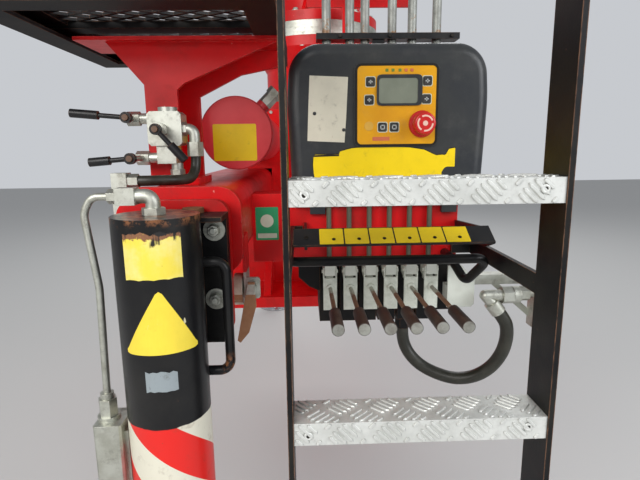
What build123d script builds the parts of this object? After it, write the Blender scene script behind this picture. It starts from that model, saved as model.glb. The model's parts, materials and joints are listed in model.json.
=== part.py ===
from build123d import *
from math import radians, sqrt, tan
import os

# Base unit of a truck-mounted crane with its stabilisers and the operator's control station.
# Millimetres. X runs along the truck to its rear, Y across it away from the operator, Z up.
# The origin is on the slewing axis, at the face that is bolted to the chassis.

os.makedirs("parts", exist_ok=True)

# Clearances
SEAT = 0.3                      # pieces that only lie against each other
RUN = 0.1                       # radial, for rods and pins that turn or slide

# Beam housing and stabiliser beams
HOUSING_BOTTOM_Z = 262.0        # its seat on the base casting
HOUSING_RIGHT_X = -160.0
HOUSING_W = 176.0
HOUSING_H = 128.0
HOUSING_HALF_LENGTH = 1050.0
HOUSING_WALL = 10.0
HOUSING_CORNER_R = 30.0
COLLAR_LENGTH = 60.0            # guides the beam, in each mouth
MOUTH_BAND = 5.0                # thickness of the band welded round each mouth
MOUTH_BAND_LENGTH = 22.0
BEAM_GAP = 6.0                  # beam to housing, taken up by the collar
BEAM_WALL = 8.0
BEAM_STICK_OUT = 25.0           # housing end to the beam's end plate
BEAM_INNER_Y = 40.0
END_PLATE_T = 20.0

HOUSING_LEFT_X = HOUSING_RIGHT_X - HOUSING_W
HOUSING_TOP_Z = HOUSING_BOTTOM_Z + HOUSING_H
HOUSING_MID_X = HOUSING_RIGHT_X - HOUSING_W / 2
HOUSING_MID_Z = HOUSING_BOTTOM_Z + HOUSING_H / 2

# Base casting
BOLT_SPACING_X = 540.0
BOLT_SPACING_Y = 800.0
CHASSIS_HOLE_R = 17.0
FOOT_T = 30.0
FOOT_EDGE = 60.0                # bolt centre to the edge of the foot
FOOT_BOSS_R = 42.0
FOOT_BOSS_H = 8.0
BODY_HALF_Y = 280.0
BODY_LEAN = 40.0                # how far the body's ends lean in
CASTING_WALL = 25.0
RIB_T = 20.0
RIB_X = (-170.0, 0.0, 170.0)
TOWER_R = 180.0
TOWER_FLARE_R = 62.0
TOWER_FLARE_H = 160.0
TOWER_TOP_Z = 800.0
FLANGE_T = 30.0
FLANGE_R = 215.0
FLANGE_FLARE_H = 60.0

# Slew ring and the foot of the column
RING_H = 46.0
RING_STEP = 10.0
COLUMN_R = 150.0
COLUMN_WALL = 25.0
COLUMN_TOP_Z = 1040.0
COLUMN_PCD = 350.0
COLUMN_HOLES = 12
COLUMN_HOLE_R = 11.0
COLUMN_RIBS = 6
COLUMN_RIB_H = 60.0
COLUMN_RIB_T = 12.0

# Slewing cylinder
RACK_X = -191.0
RACK_Z = 483.0
RACK_R = 67.0
RACK_CAP_R = 73.0
RACK_HALF_LENGTH = 800.0
RACK_CAP = 36.0
RACK_WALL = 14.0
RACK_BODY_HALF = 230.0
RACK_BODY_WALL = 24.0
RACK_LIP = 12.0                 # raised ring round each mouth of the rack's body
RACK_PORT_R = 14.0

# Stabiliser legs
LEG_X = -250.0
LEG_R = 56.0
LEG_TOP_Z = 369.0
LEG_BOTTOM_Z = -420.0
LEG_WALL = 10.0
LEG_CAP_T = 7.0
PIN_HEAD_R = 15.0
RAM_R = 35.0
RAM_GLAND = 50.0
FOOT_PAD_R = 100.0
FOOT_PAD_Z = -520.0
FOOT_PAD_T = 20.0
BRACKET_T = 18.7
BRACKET_X = (-322.0, -168.0)
BRACKET_Z = (168.0, 362.0)
END_PLATE_X = (-330.0, -168.0)
END_PLATE_Z = (168.0, 379.0)
END_PLATE_CORNER_R = 22.0
HANDLE_X = -167.0
HANDLE_Z = (137.0, 298.0)
HANDLE_R = 7.0
PIPE_R = 5.0
LOCK_VALVE_W = 38.0
LOCK_VALVE_GAP = 5.0            # foot plate between lock valve and leg tube
LOCK_VALVE_Z = (-60.0, 84.0)

PLATE_BACK_Y = HOUSING_HALF_LENGTH + BEAM_STICK_OUT
PLATE_FRONT_Y = PLATE_BACK_Y + END_PLATE_T
LEG_Y = PLATE_FRONT_Y + BRACKET_T + SEAT + LEG_R
BRACKET_FRONT_Y = LEG_Y - LEG_R - SEAT

# Post and platform
POST_OFFSET = -54.0             # middle of the beam housing to the middle of the post
POST_W = 56.0
POST_Y = (-920.0, -830.0)
POST_PLATE_T = 10.0
POST_FOOT_T = 12.0
POST_HEAD_T = 6.0
PLATFORM_X = (-507.0, -90.0)
PLATFORM_Y = (-1130.0, -620.0)
PLATFORM_Z = 639.0
PLATFORM_RAIL_H = 41.0
PLATFORM_RAIL_T = 6.0
PLATFORM_LEDGE_W = 46.0
PLATFORM_LEDGE_DEPTH = 14.0     # top of the rail to the ledge's underside
PLATFORM_LEDGE_T = 6.0
MESH_T = 5.0
MESH_PITCH = (58.0, 34.0)
MESH_HOLE = (47.0, 26.0)

POST_MID_X = HOUSING_MID_X + POST_OFFSET
POST_X = (POST_MID_X - POST_W / 2, POST_MID_X + POST_W / 2)

# Control bracket and valve bank
PANEL_Y = -848.0                # front of the control bracket
PANEL_T = 8.0
PANEL_DEPTH = 68.0
PANEL_RIGHT_X = 250.0
PANEL_Z = (228.0, 340.0)
PANEL_RAISED_Z = 364.0
PANEL_RAISED_X = -102.0
VALVE_Y = (-838.0, -700.0)
VALVE_BOTTOM_Z = 95.0
SECTION_GROOVE = 4.0
INLET_W = 42.0
OUTLET_W = 36.0
SPOOL_CAP_R = 15.0
SPOOL_CAP_LENGTH = 32.0

# Levers
LEVER_COUNT = 6
LEVER_PITCH = 40.0
LEVER_FIRST_X = -9.0
PIVOT_Y = -875.0
PIVOT_Z = 212.0
PIN_R = 3.5
PIN_STICK_OUT = 2.5
LEVER_W = 27.0
LEVER_T = 4.0
EAR_T = 2.5
HEAD_GAP = 0.5                  # lever's ear to the fixed head between the ears
LEVER_BOTTOM_Z = 135.0
STICK_Z = 180.0
STICK_R = 4.0
STICK_LENGTH = 145.0
GRIP_R = 10.0
GRIP_LENGTH = 80.0
ROD_ARM = 19.0                  # pivot to the pull rod's pin
ROD_R = 5.0
ROD_PIN_R = 4.0
ROD_EYE_R = 7.0
ROD_TOP_Z = 360.0

LEVER_X = [LEVER_FIRST_X + i * LEVER_PITCH for i in range(LEVER_COUNT)]
LEVER_FRONT_Y = PIVOT_Y - 10
BANK_X = (LEVER_X[0] - LEVER_PITCH / 2, LEVER_X[-1] + LEVER_PITCH / 2)
ROD_Y = PIVOT_Y + ROD_ARM

# Label strip and guard bar over the levers
STRIP_X = (-76.0, 250.0)
STRIP_EDGE = (-1045.0, 296.0)   # y, z of its lower edge
STRIP_RISE = 21.0
STRIP_RUN = 35.0
STRIP_T = 3.6
STRIP_ARM_T = 5.0
GUARD_Y = -985.0
GUARD_Z = 258.0
GUARD_R = 8.5
GUARD_LEFT_X = -88.0
GUARD_RIGHT_X = 266.0

# Console
CONSOLE_X = (-86.0, 294.0)
CONSOLE_Y = (-880.0, -790.0)
CONSOLE_TOP_Z = 640.0
CONSOLE_CORNER_R = 60.0
CONSOLE_EDGE_R = 22.0
CONSOLE_TAPER = 8.0
CONSOLE_WAIST = 100.0           # top to the widest place
DASH_X = (44.0, 190.0)
DASH_Z = (457.0, 597.0)
DASH_T = 3.0
DASH_RIM = 5.0
DISPLAY_X = (80.0, 163.0)
DISPLAY_Z = (527.0, 581.0)
GLASS_T = 1.5
KEY_R = 6.0
STOP_X = 164.0
STOP_Z = 493.0
STOP_R = 20.0

# Ladder
STILE_LEFT_X = -85.0
STILE_RIGHT_X = 283.0
STILE_T = 8.0
STILE_Y = (-1200.0, -1134.0)
STILE_Z = (-330.0, 1000.0)
STAY_H = 30.0
STAY_Z = (270.0, 240.0)         # left and right stay
STEP_TOP_Z = 81.5
STEP_SPACING = 330.0
STEPS_BELOW = 1
STEP_COUNT = 4
STEP_LIP = 33.0
STEP_T = 4.0

# Selector valve on the post
SELECTOR_X = POST_MID_X + 14.0
SELECTOR_Z = HOUSING_TOP_Z + 98.0
SELECTOR_Y = POST_Y[0] - 40.0   # front of its body
SPINDLE_R = 5.0
HUB_R = 9.0
SLEEVE_R = 7.0

# Pressure pipes behind the console
PIPE_X = (-6.0, 41.0, 72.0, 127.0, 168.0, 218.0)
PIPE_Y = -765.0
PIPE_OUTER_R = 9.0
PIPE_BEND_R = 60.0
PIPE_RUN_Z = 900.0
PIPE_END_Y = -350.0
CLAMP_Z = (664.0, 676.0)


def block(x, y, z):
    """A block between two limits along each axis."""
    size = Box(x[1] - x[0], y[1] - y[0], z[1] - z[0])
    return Pos((x[0] + x[1]) / 2, (y[0] + y[1]) / 2, (z[0] + z[1]) / 2) * size


def bar_x(x, y, z, r):
    return Pos((x[0] + x[1]) / 2, y, z) * Rot(0, 90, 0) * Cylinder(r, x[1] - x[0])


def bar_y(x, y, z, r):
    return Pos(x, (y[0] + y[1]) / 2, z) * Rot(90, 0, 0) * Cylinder(r, y[1] - y[0])


def bar_z(x, y, z, r):
    return Pos(x, y, (z[0] + z[1]) / 2) * Cylinder(r, z[1] - z[0])


def bar_between(start, end, r):
    """A round bar from one point to another."""
    along = Vector(*end) - Vector(*start)
    return Plane(origin=start, z_dir=along) * Pos(0, 0, along.length / 2) * Cylinder(r, along.length)


def hexagon(start, end, across):
    """A hexagonal nut or fitting from one point to another, by its width across flats."""
    along = Vector(*end) - Vector(*start)
    face = RegularPolygon(across / sqrt(3), 6)
    return extrude(Plane(origin=start, z_dir=along) * face, along.length)


def plate_xz(points, y):
    """An upright plate from its outline of (x, z) points, between two values of y."""
    face = make_face(Polyline(*points, close=True))
    return Pos(0, y[1], 0) * extrude(Plane.XZ * face, y[1] - y[0])


def plate_yz(points, x):
    """An upright plate from its outline of (y, z) points, between two values of x."""
    face = make_face(Polyline(*points, close=True))
    return Pos(x[0], 0, 0) * extrude(Plane.YZ * face, x[1] - x[0])


def rounded_bar(width, height, corner, y):
    """A rounded rectangle along Y, about the middle of the beam housing."""
    bar = extrude(RectangleRounded(width, height, corner), y[1] - y[0])
    return Pos(HOUSING_MID_X, y[1], HOUSING_MID_Z) * Rot(90, 0, 0) * bar


def rounded_plate_xz(x, z, corner, y):
    """An upright plate with rounded corners between limits along x, z and y."""
    plate = extrude(RectangleRounded(x[1] - x[0], z[1] - z[0], corner), y[1] - y[0])
    return Pos(sum(x) / 2, y[1], sum(z) / 2) * Rot(90, 0, 0) * plate


def bent_bar(points, r, radii):
    """A round bar, pipe or hose along straight runs joined by tangent arcs."""
    path = FilletPolyline(*points, radius=radii)
    return sweep(Plane(origin=path @ 0, z_dir=path % 0) * Circle(r), path=path)


def mirrored(shape):
    """The same piece on the far side of the truck."""
    return mirror(shape, about=Plane.XZ)


# Base casting: feet, body, tower and the body of the slewing cylinder
def crane_base():
    foot_x = BOLT_SPACING_X / 2 + FOOT_EDGE
    foot_y = BOLT_SPACING_Y / 2 + FOOT_EDGE
    top = HOUSING_BOTTOM_Z
    wall = CASTING_WALL
    low_x = foot_x - BODY_LEAN
    high_x = foot_x - 2 * BODY_LEAN
    outline = [(-low_x, 0), (low_x, 0), (high_x, top), (HOUSING_LEFT_X, top), (HOUSING_LEFT_X, top - 2 * wall)]
    base = plate_xz(outline, (-BODY_HALF_Y, BODY_HALF_Y))
    hollow = [(wall - low_x, -1), (low_x - wall, -1), (high_x - wall, top - wall), (wall - low_x, top - wall)]
    base -= plate_xz(hollow, (wall - BODY_HALF_Y, BODY_HALF_Y - wall))
    for side in (-1, 1):
        base += block((-foot_x, foot_x), sorted((side * (BODY_HALF_Y - RIB_T), side * foot_y)), (0, FOOT_T))
        for x in RIB_X:
            rib = [(side * (BODY_HALF_Y - RIB_T), FOOT_T), (side * (foot_y - RIB_T), FOOT_T),
                   (side * (BODY_HALF_Y - RIB_T), top - 2 * wall)]
            base += plate_yz(rib, (x - RIB_T / 2, x + RIB_T / 2))
        for x in (-BOLT_SPACING_X / 2, BOLT_SPACING_X / 2):
            base += bar_z(x, side * BOLT_SPACING_Y / 2, (FOOT_T - 1, FOOT_T + FOOT_BOSS_H), FOOT_BOSS_R)
            base -= bar_z(x, side * BOLT_SPACING_Y / 2, (-1, FOOT_T + FOOT_BOSS_H + 1), CHASSIS_HOLE_R)
    foot_r = TOWER_R + TOWER_FLARE_R
    flare_top = top + TOWER_FLARE_H
    flare_r = (TOWER_FLARE_R ** 2 + TOWER_FLARE_H ** 2) / (2 * TOWER_FLARE_R)
    flare = RadiusArc((foot_r, top), (TOWER_R, flare_top), flare_r)
    under_flange = TOWER_TOP_Z - FLANGE_T
    rest = Polyline((TOWER_R, flare_top), (TOWER_R, under_flange - FLANGE_FLARE_H), (FLANGE_R, under_flange),
                    (FLANGE_R, TOWER_TOP_Z), (0, TOWER_TOP_Z), (0, top), (foot_r, top))
    tower = revolve(Plane.XZ * make_face(Curve() + [flare, rest]), Axis.Z)
    body_r = RACK_R + RACK_BODY_WALL
    mouth = (-RACK_BODY_HALF, RACK_BODY_HALF)
    tower += bar_y(RACK_X, mouth, RACK_Z, body_r)
    tower += block((RACK_X, 0), mouth, (RACK_Z - body_r, RACK_Z + body_r))
    tower += block((RACK_X - body_r / 2, 0), mouth, (top, RACK_Z))
    for end in (-RACK_BODY_HALF, RACK_BODY_HALF - RACK_LIP):
        tower += bar_y(RACK_X, (end, end + RACK_LIP), RACK_Z, body_r + RACK_LIP / 2)
    room_z = (top - 1, HOUSING_TOP_Z + SEAT)
    tower -= block((HOUSING_LEFT_X - wall, HOUSING_RIGHT_X + SEAT), (-foot_y, foot_y), room_z)
    tower -= bar_y(RACK_X, (-foot_y, foot_y), RACK_Z, RACK_R + SEAT)
    bore = bar_z(0, 0, (top - wall - 1, TOWER_TOP_Z + 1), TOWER_R - wall)
    bore -= block((-TOWER_R, RACK_X + body_r), (-TOWER_R, TOWER_R), (top - wall, RACK_Z + body_r))
    return base + tower - bore


def slewing_cylinder():
    half = RACK_HALF_LENGTH
    tube = bar_y(RACK_X, (-half, half), RACK_Z, RACK_R)
    for end in (-half, half - RACK_CAP):
        cap = bar_y(RACK_X, (end, end + RACK_CAP), RACK_Z, RACK_CAP_R)
        tube += chamfer(cap.edges().filter_by(GeomType.CIRCLE), 2.5)
        tube += rack_port(end + RACK_CAP / 2)
    inner = half - RACK_CAP
    return tube - bar_y(RACK_X, (-inner, inner), RACK_Z, RACK_R - RACK_WALL)


def rack_port(y):
    """A boss at the upper right of a cap, with its hexagonal fitting and plug."""
    boss = RACK_CAP_R + 8
    nut = boss + 22
    port = None
    # distance from the cylinder's axis to each piece's ends, and its width across flats (0 is round)
    for near, far, across in ((RACK_CAP_R - 8, boss, 0), (boss, nut, 24), (nut, nut + 14, 28)):
        start = (RACK_X + near / sqrt(2), y, RACK_Z + near / sqrt(2))
        end = (RACK_X + far / sqrt(2), y, RACK_Z + far / sqrt(2))
        piece = hexagon(start, end, across) if across else bar_between(start, end, RACK_PORT_R)
        port = port + piece if port else piece
    return port


def slew_ring():
    middle = TOWER_TOP_Z + RING_H / 2
    ring = bar_z(0, 0, (TOWER_TOP_Z, middle), FLANGE_R)
    ring += bar_z(0, 0, (middle, TOWER_TOP_Z + RING_H), FLANGE_R - RING_STEP)
    return ring - bar_z(0, 0, (TOWER_TOP_Z - 1, TOWER_TOP_Z + RING_H + 1), COLUMN_R)


def slewing_head():
    bottom = TOWER_TOP_Z + RING_H + SEAT
    head = bar_z(0, 0, (bottom, bottom + FLANGE_T), FLANGE_R - RING_STEP)
    head += bar_z(0, 0, (bottom, COLUMN_TOP_Z), COLUMN_R)
    head += bar_z(0, 0, (COLUMN_TOP_Z - FLANGE_T, COLUMN_TOP_Z), FLANGE_R)
    foot = bottom + FLANGE_T
    root = COLUMN_R - 5
    rib = [(root, foot - 1), (FLANGE_R - 2 * RING_STEP, foot - 1), (root, foot + COLUMN_RIB_H)]
    gusset = plate_xz(rib, (-COLUMN_RIB_T / 2, COLUMN_RIB_T / 2))
    for spot in PolarLocations(0, COLUMN_RIBS, start_angle=180 / COLUMN_HOLES):
        head += spot * gusset
    head -= bar_z(0, 0, (bottom - 1, COLUMN_TOP_Z + 1), COLUMN_R - COLUMN_WALL)
    for spot in PolarLocations(COLUMN_PCD / 2, COLUMN_HOLES):
        head -= spot * bar_z(0, 0, (COLUMN_TOP_Z - FLANGE_T - 1, COLUMN_TOP_Z + 1), COLUMN_HOLE_R)
    return head


# Beam housing across the truck, with a collar in each mouth that guides a beam
BEAM_W = HOUSING_W - 2 * HOUSING_WALL - 2 * BEAM_GAP
BEAM_H = HOUSING_H - 2 * HOUSING_WALL - 2 * BEAM_GAP
BEAM_CORNER_R = HOUSING_CORNER_R - HOUSING_WALL - BEAM_GAP


def beam_housing():
    end = HOUSING_HALF_LENGTH
    housing = rounded_bar(HOUSING_W, HOUSING_H, HOUSING_CORNER_R, (-end, end))
    band = (HOUSING_W + 2 * MOUTH_BAND, HOUSING_H + 2 * MOUTH_BAND, HOUSING_CORNER_R + MOUTH_BAND)
    for y in (-end, end - MOUTH_BAND_LENGTH):
        housing += rounded_bar(*band, (y, y + MOUTH_BAND_LENGTH))
    inner = (HOUSING_W - 2 * HOUSING_WALL, HOUSING_H - 2 * HOUSING_WALL, HOUSING_CORNER_R - HOUSING_WALL)
    housing -= rounded_bar(*inner, (-end + COLLAR_LENGTH, end - COLLAR_LENGTH))
    mouth = (BEAM_W + 2 * SEAT, BEAM_H + 2 * SEAT, BEAM_CORNER_R + SEAT)
    return housing - rounded_bar(*mouth, (-end - 1, end + 1))


def stabiliser_beam():
    beam = rounded_bar(BEAM_W, BEAM_H, BEAM_CORNER_R, (-PLATE_FRONT_Y, -BEAM_INNER_Y))
    wall = BEAM_WALL
    beam -= rounded_bar(BEAM_W - 2 * wall, BEAM_H - 2 * wall, BEAM_CORNER_R - wall, (-PLATE_BACK_Y, 0))
    return beam + rounded_plate_xz(END_PLATE_X, END_PLATE_Z, END_PLATE_CORNER_R, (-PLATE_FRONT_Y, -PLATE_BACK_Y))


def leg_bracket():
    plate = block(BRACKET_X, (-BRACKET_FRONT_Y, -PLATE_FRONT_Y), BRACKET_Z)
    reach = 0.8 * LEG_R
    depth = (-LEG_Y + LEG_R / 3, -BRACKET_FRONT_Y)
    plate += block((LEG_X - reach, LEG_X + reach), depth, (BRACKET_Z[0] + 15, BRACKET_Z[1] - 30))
    top = BRACKET_Z[1]
    plate += block((LEG_X, BRACKET_X[1]), (-LEG_Y + LEG_R / 4, -BRACKET_FRONT_Y), (top - LEG_CAP_T, top))
    pin_x = LEG_X + 35
    plate += bar_z(pin_x, -PLATE_FRONT_Y - PIN_HEAD_R, (top - 1, top + 8), PIN_HEAD_R)
    return plate - bar_z(LEG_X, -LEG_Y, (LEG_BOTTOM_Z, LEG_TOP_Z + 1), LEG_R + SEAT)


def leg_tube():
    bore_r = LEG_R - LEG_WALL
    tube = bar_z(LEG_X, -LEG_Y, (LEG_BOTTOM_Z, LEG_TOP_Z), LEG_R)
    tube -= bar_z(LEG_X, -LEG_Y, (LEG_BOTTOM_Z + RAM_GLAND, LEG_TOP_Z - 3 * LEG_WALL), bore_r)
    tube -= bar_z(LEG_X, -LEG_Y, (LEG_BOTTOM_Z - 1, LEG_TOP_Z - 6 * LEG_WALL), RAM_R + RUN)
    y = -LEG_Y + LEG_R / 2
    root_x = LEG_X + LEG_R - 2 * HANDLE_R
    z0, z1 = HANDLE_Z
    handle = bent_bar([(root_x, y, z0), (HANDLE_X, y, z0), (HANDLE_X, y, z1), (root_x, y, z1)], HANDLE_R, [16, 16])
    return tube + (handle - bar_z(LEG_X, -LEG_Y, (LEG_BOTTOM_Z, LEG_TOP_Z), bore_r + 2))


def leg_ram():
    top = LEG_TOP_Z - 3 * LEG_WALL - 2
    ram = bar_z(LEG_X, -LEG_Y, (FOOT_PAD_Z, top), RAM_R)
    ram += bar_z(LEG_X, -LEG_Y, (top - 40, top), LEG_R - LEG_WALL - 2 * RUN)
    pad = bar_z(LEG_X, -LEG_Y, (FOOT_PAD_Z - FOOT_PAD_T, FOOT_PAD_Z), FOOT_PAD_R)
    pad = chamfer(pad.edges().group_by(Axis.Z)[-1], FOOT_PAD_T / 2)
    return ram + pad + bar_z(LEG_X, -LEG_Y, (FOOT_PAD_Z, FOOT_PAD_Z + 40), RAM_R + 12)


def leg_pipe():
    """The lock valve on the leg, its pipe up to the cap, and the tee and elbow there."""
    y = -LEG_Y
    right = LEG_X - LEG_R - SEAT
    body_x = (right - LOCK_VALVE_GAP - LOCK_VALVE_W, right - LOCK_VALVE_GAP)
    half = LOCK_VALVE_W * 0.65
    valve = block(body_x, (y - half, y + half), LOCK_VALVE_Z)
    valve = chamfer(valve.edges().filter_by(Axis.Z), 3)
    foot_z = (LOCK_VALVE_Z[0] + 15, LOCK_VALVE_Z[1] - 15)
    valve += block((body_x[1] - 1, right), (y - half / 2, y + half / 2), foot_z)
    pipe_x = (body_x[0] + body_x[1]) / 2 - 5
    top = LOCK_VALVE_Z[1]
    valve += bar_z(pipe_x, y, (top - 1, top + 5), 15)
    valve += hexagon((pipe_x, y, top + 5), (pipe_x, y, top + 30), 22)
    valve += bar_z(pipe_x, y, (top + 30, top + 38), 9)
    valve += hexagon((pipe_x, y, LOCK_VALVE_Z[0] - 14), (pipe_x, y, LOCK_VALVE_Z[0] + 1), 22)
    tee_x = (-297.0, -272.0)
    tee_z = LEG_TOP_Z + 24.0
    route = [(pipe_x, y, top + 30), (-331, y, 272), (-342, y, 372), (-330, y, tee_z), (tee_x[0] + 2, y, tee_z)]
    pipe = bent_bar(route, PIPE_R, [90, 30, 16])
    tee = block(tee_x, (y - 11, y + 11), (tee_z - 11, tee_z + 11))
    tee += hexagon((tee_x[0] - 11, y, tee_z), (tee_x[0] + 1, y, tee_z), 17)
    drop_x = LEG_X - 2
    elbow = bent_bar([(tee_x[1] - 1, y, tee_z), (drop_x, y, tee_z), (drop_x, y, LEG_TOP_Z + 5)], 9.5, [10])
    base = hexagon((drop_x, y, LEG_TOP_Z), (drop_x, y, LEG_TOP_Z + 9), 27)
    return valve + pipe + tee + elbow + base


# Lock for the pulled-in beam, beside each mouth of the housing: roller, angle, rusted lever
def beam_lock():
    y = 50 - HOUSING_HALF_LENGTH
    side = HOUSING_RIGHT_X + SEAT
    pivot = (side + 14.7, HOUSING_BOTTOM_Z - 38)
    angle = block((side, side + 5), (y - 22, y + 22), (HOUSING_BOTTOM_Z - 55, HOUSING_BOTTOM_Z + 50))
    face = rounded_plate_xz((side, side + 27), (HOUSING_BOTTOM_Z - 56, HOUSING_BOTTOM_Z - 20), 5, (y - 22, y - 17))
    nut = hexagon((pivot[0], y - 27, pivot[1]), (pivot[0], y - 17, pivot[1]), 14)
    roller = bar_x((side - 17, side - 2), y - 4, pivot[1] - 6, 27)
    axle = bar_x((side - 21, side + 5), y - 4, pivot[1] - 6, 6)
    top = pivot[1] + 12
    lever = [(side + 8, top), (side + 19, top), (side + 20, top - 42), (side + 7, top - 86), (side - 8, top - 104),
             (side - 13, top - 100), (side - 3, top - 52)]
    return angle + face + nut + roller + axle + plate_xz(lever, (y - 32, y - 25))


# Post on the housing and the platform above it
def platform_post():
    bottom = HOUSING_TOP_Z
    under = PLATFORM_Z - POST_HEAD_T
    front, back = POST_Y
    t = POST_PLATE_T
    post = block(POST_X, (front, front + t), (bottom, under + 1))
    post += block((POST_MID_X - t / 2, POST_MID_X + t / 2), POST_Y, (bottom, under + 1))
    rear_x = (POST_X[0] - 8, POST_X[1] + 22)
    post += block(rear_x, (back - t, back), (bottom, under + 1))
    post += block((HOUSING_LEFT_X, rear_x[1] + 10), (front - 14, back + 14), (bottom, bottom + POST_FOOT_T))
    head_x = (POST_X[0] - 108, PLATFORM_X[1] - 8)
    post += block(head_x, (front - 14, back + 14), (under, PLATFORM_Z))
    left = POST_X[0] + 1
    tip = POST_X[0] - 60
    curve = ThreePointArc((tip, under), (POST_X[0] - 26, under - 40), (left, under - 72))
    rest = Polyline((left, under - 72), (left, under + 1), (tip, under + 1), (tip, under))
    gusset = extrude(Plane.XZ * make_face(Curve() + [curve, rest]), t)
    post += Pos(0, front + t, 0) * gusset
    tip = head_x[1] - 2
    root = POST_X[1] - 1
    right = [(root, under - 80), (root + 13, under - 69), (tip, under - 1), (tip, under + 1), (root, under + 1)]
    post += plate_xz(right, (front, front + t))
    root = rear_x[1] - 1
    rear = [(root, under - 84), (root + 81, under - 44), (tip, under - 30), (tip, under + 1), (root, under + 1)]
    return post + plate_xz(rear, (back - t, back))


def platform_frame():
    z = (PLATFORM_Z, PLATFORM_Z + PLATFORM_RAIL_H)
    ledge_z = (z[1] - PLATFORM_LEDGE_DEPTH, z[1] - PLATFORM_LEDGE_DEPTH + PLATFORM_LEDGE_T)
    frame = ring(PLATFORM_RAIL_T, z) + ring(PLATFORM_LEDGE_W, ledge_z)
    frame += ring(PLATFORM_LEDGE_W, (z[0], z[0] + PLATFORM_RAIL_T))
    middle = sum(PLATFORM_Y) / 2
    frame += block((PLATFORM_X[0] + 1, PLATFORM_X[1] - 1), (middle - 20, middle + 20), (z[1] - 20, ledge_z[1]))
    lug_x = (PLATFORM_X[1] - PLATFORM_RAIL_T, STILE_LEFT_X)
    return frame + block(lug_x, (STILE_Y[0] + 5, PLATFORM_Y[0] + 30), (z[0] + 5, z[1] - 5))


def ring(width, z):
    """The platform's outline as a ring of the given width, between two heights."""
    outer = block(PLATFORM_X, PLATFORM_Y, z)
    inner_x = (PLATFORM_X[0] + width, PLATFORM_X[1] - width)
    inner_y = (PLATFORM_Y[0] + width, PLATFORM_Y[1] - width)
    return outer - block(inner_x, inner_y, (z[0] - 1, z[1] + 1))


def platform_mesh():
    inset = 2 * (PLATFORM_RAIL_T + SEAT)
    width = PLATFORM_X[1] - PLATFORM_X[0] - inset
    depth = PLATFORM_Y[1] - PLATFORM_Y[0] - inset
    across, along = MESH_HOLE
    diamond = make_face(Polyline((-across / 2, 0), (0, along / 2), (across / 2, 0), (0, -along / 2), close=True))
    columns = int((width - across) // MESH_PITCH[0])
    rows = int((depth - along) // MESH_PITCH[1])
    sheet = Rectangle(width, depth)
    sheet -= [place * diamond for place in GridLocations(*MESH_PITCH, columns, rows)]
    sheet -= [place * diamond for place in GridLocations(*MESH_PITCH, columns - 1, rows - 1)]
    bottom = PLATFORM_Z + PLATFORM_RAIL_H - PLATFORM_LEDGE_DEPTH + PLATFORM_LEDGE_T
    return Pos(sum(PLATFORM_X) / 2, sum(PLATFORM_Y) / 2, bottom) * extrude(sheet, MESH_T)


# Control bracket: a channel from the housing's side
def control_bracket():
    left = HOUSING_RIGHT_X
    back = PANEL_Y + PANEL_DEPTH
    front = (PANEL_Y, PANEL_Y + PANEL_T)
    bottom, top = PANEL_Z
    bracket = block((left, PANEL_RIGHT_X), front, PANEL_Z)
    raised_z = PANEL_RAISED_Z
    raised = [(left, top - 1), (PANEL_RAISED_X + 20, top - 1), (PANEL_RAISED_X, raised_z), (left, raised_z)]
    bracket += plate_xz(raised, front)
    bracket += block((left, PANEL_RAISED_X), (PANEL_Y, back), (raised_z - PANEL_T, raised_z))
    for z in (bottom, top - PANEL_T):
        bracket += block((left, PANEL_RIGHT_X), (PANEL_Y, back), (z, z + PANEL_T))
    for x in (left, LEVER_X[2] + LEVER_PITCH / 2, PANEL_RIGHT_X - PANEL_T):
        bracket += block((x, x + PANEL_T), (PANEL_Y, back), PANEL_Z)
    return bracket


RETURN_HOSE = [
    (150, -815, 70), (150, -815, 44), (162, -819.5, 12.5), (186, -828.5, -13), (219, -841, -28), (256, -855, -35),
    (292, -870, -24), (320, -884, 2), (337, -894, 36), (343, -899, 68), (342.6, -900, 94), (337, -900, 111),
    (323, -900, 129),
]
RETURN_HOSE_R = 13.0


def valve_bank():
    """Inlet, six sections and outlet, bolted together under the bracket."""
    top = PANEL_Z[0]
    front, back = VALVE_Y
    bank = block(BANK_X, VALVE_Y, (VALVE_BOTTOM_Z, top))
    edge = BANK_X[0]
    left = edge - INLET_W
    inlet = [(left, top), (left, top - 30), (left + INLET_W / 2, top - 50), (edge + 1, top - 60), (edge + 1, top)]
    bank += plate_xz(inlet, (front - 25, back))
    bank += block((BANK_X[1] - 1, BANK_X[1] + OUTLET_W), VALVE_Y, (VALVE_BOTTOM_Z + 20, top))
    middle_z = (VALVE_BOTTOM_Z + top) / 2
    for x in LEVER_X:
        groove = (x + LEVER_PITCH / 2 - SECTION_GROOVE / 2, x + LEVER_PITCH / 2 + SECTION_GROOVE / 2)
        bank -= block(groove, (front - 1, front + 12), (VALVE_BOTTOM_Z - 1, top - 6))
        bank -= block(groove, (front - 1, back + 1), (VALVE_BOTTOM_Z - 1, VALVE_BOTTOM_Z + 10))
        bank += bar_y(x, (back - 1, back + SPOOL_CAP_LENGTH), middle_z, SPOOL_CAP_R)
    hose_x, hose_y, hose_z = RETURN_HOSE[0]
    return bank + hexagon((hose_x, hose_y, hose_z), (hose_x, hose_y, VALVE_BOTTOM_Z + 1), 28)


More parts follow.
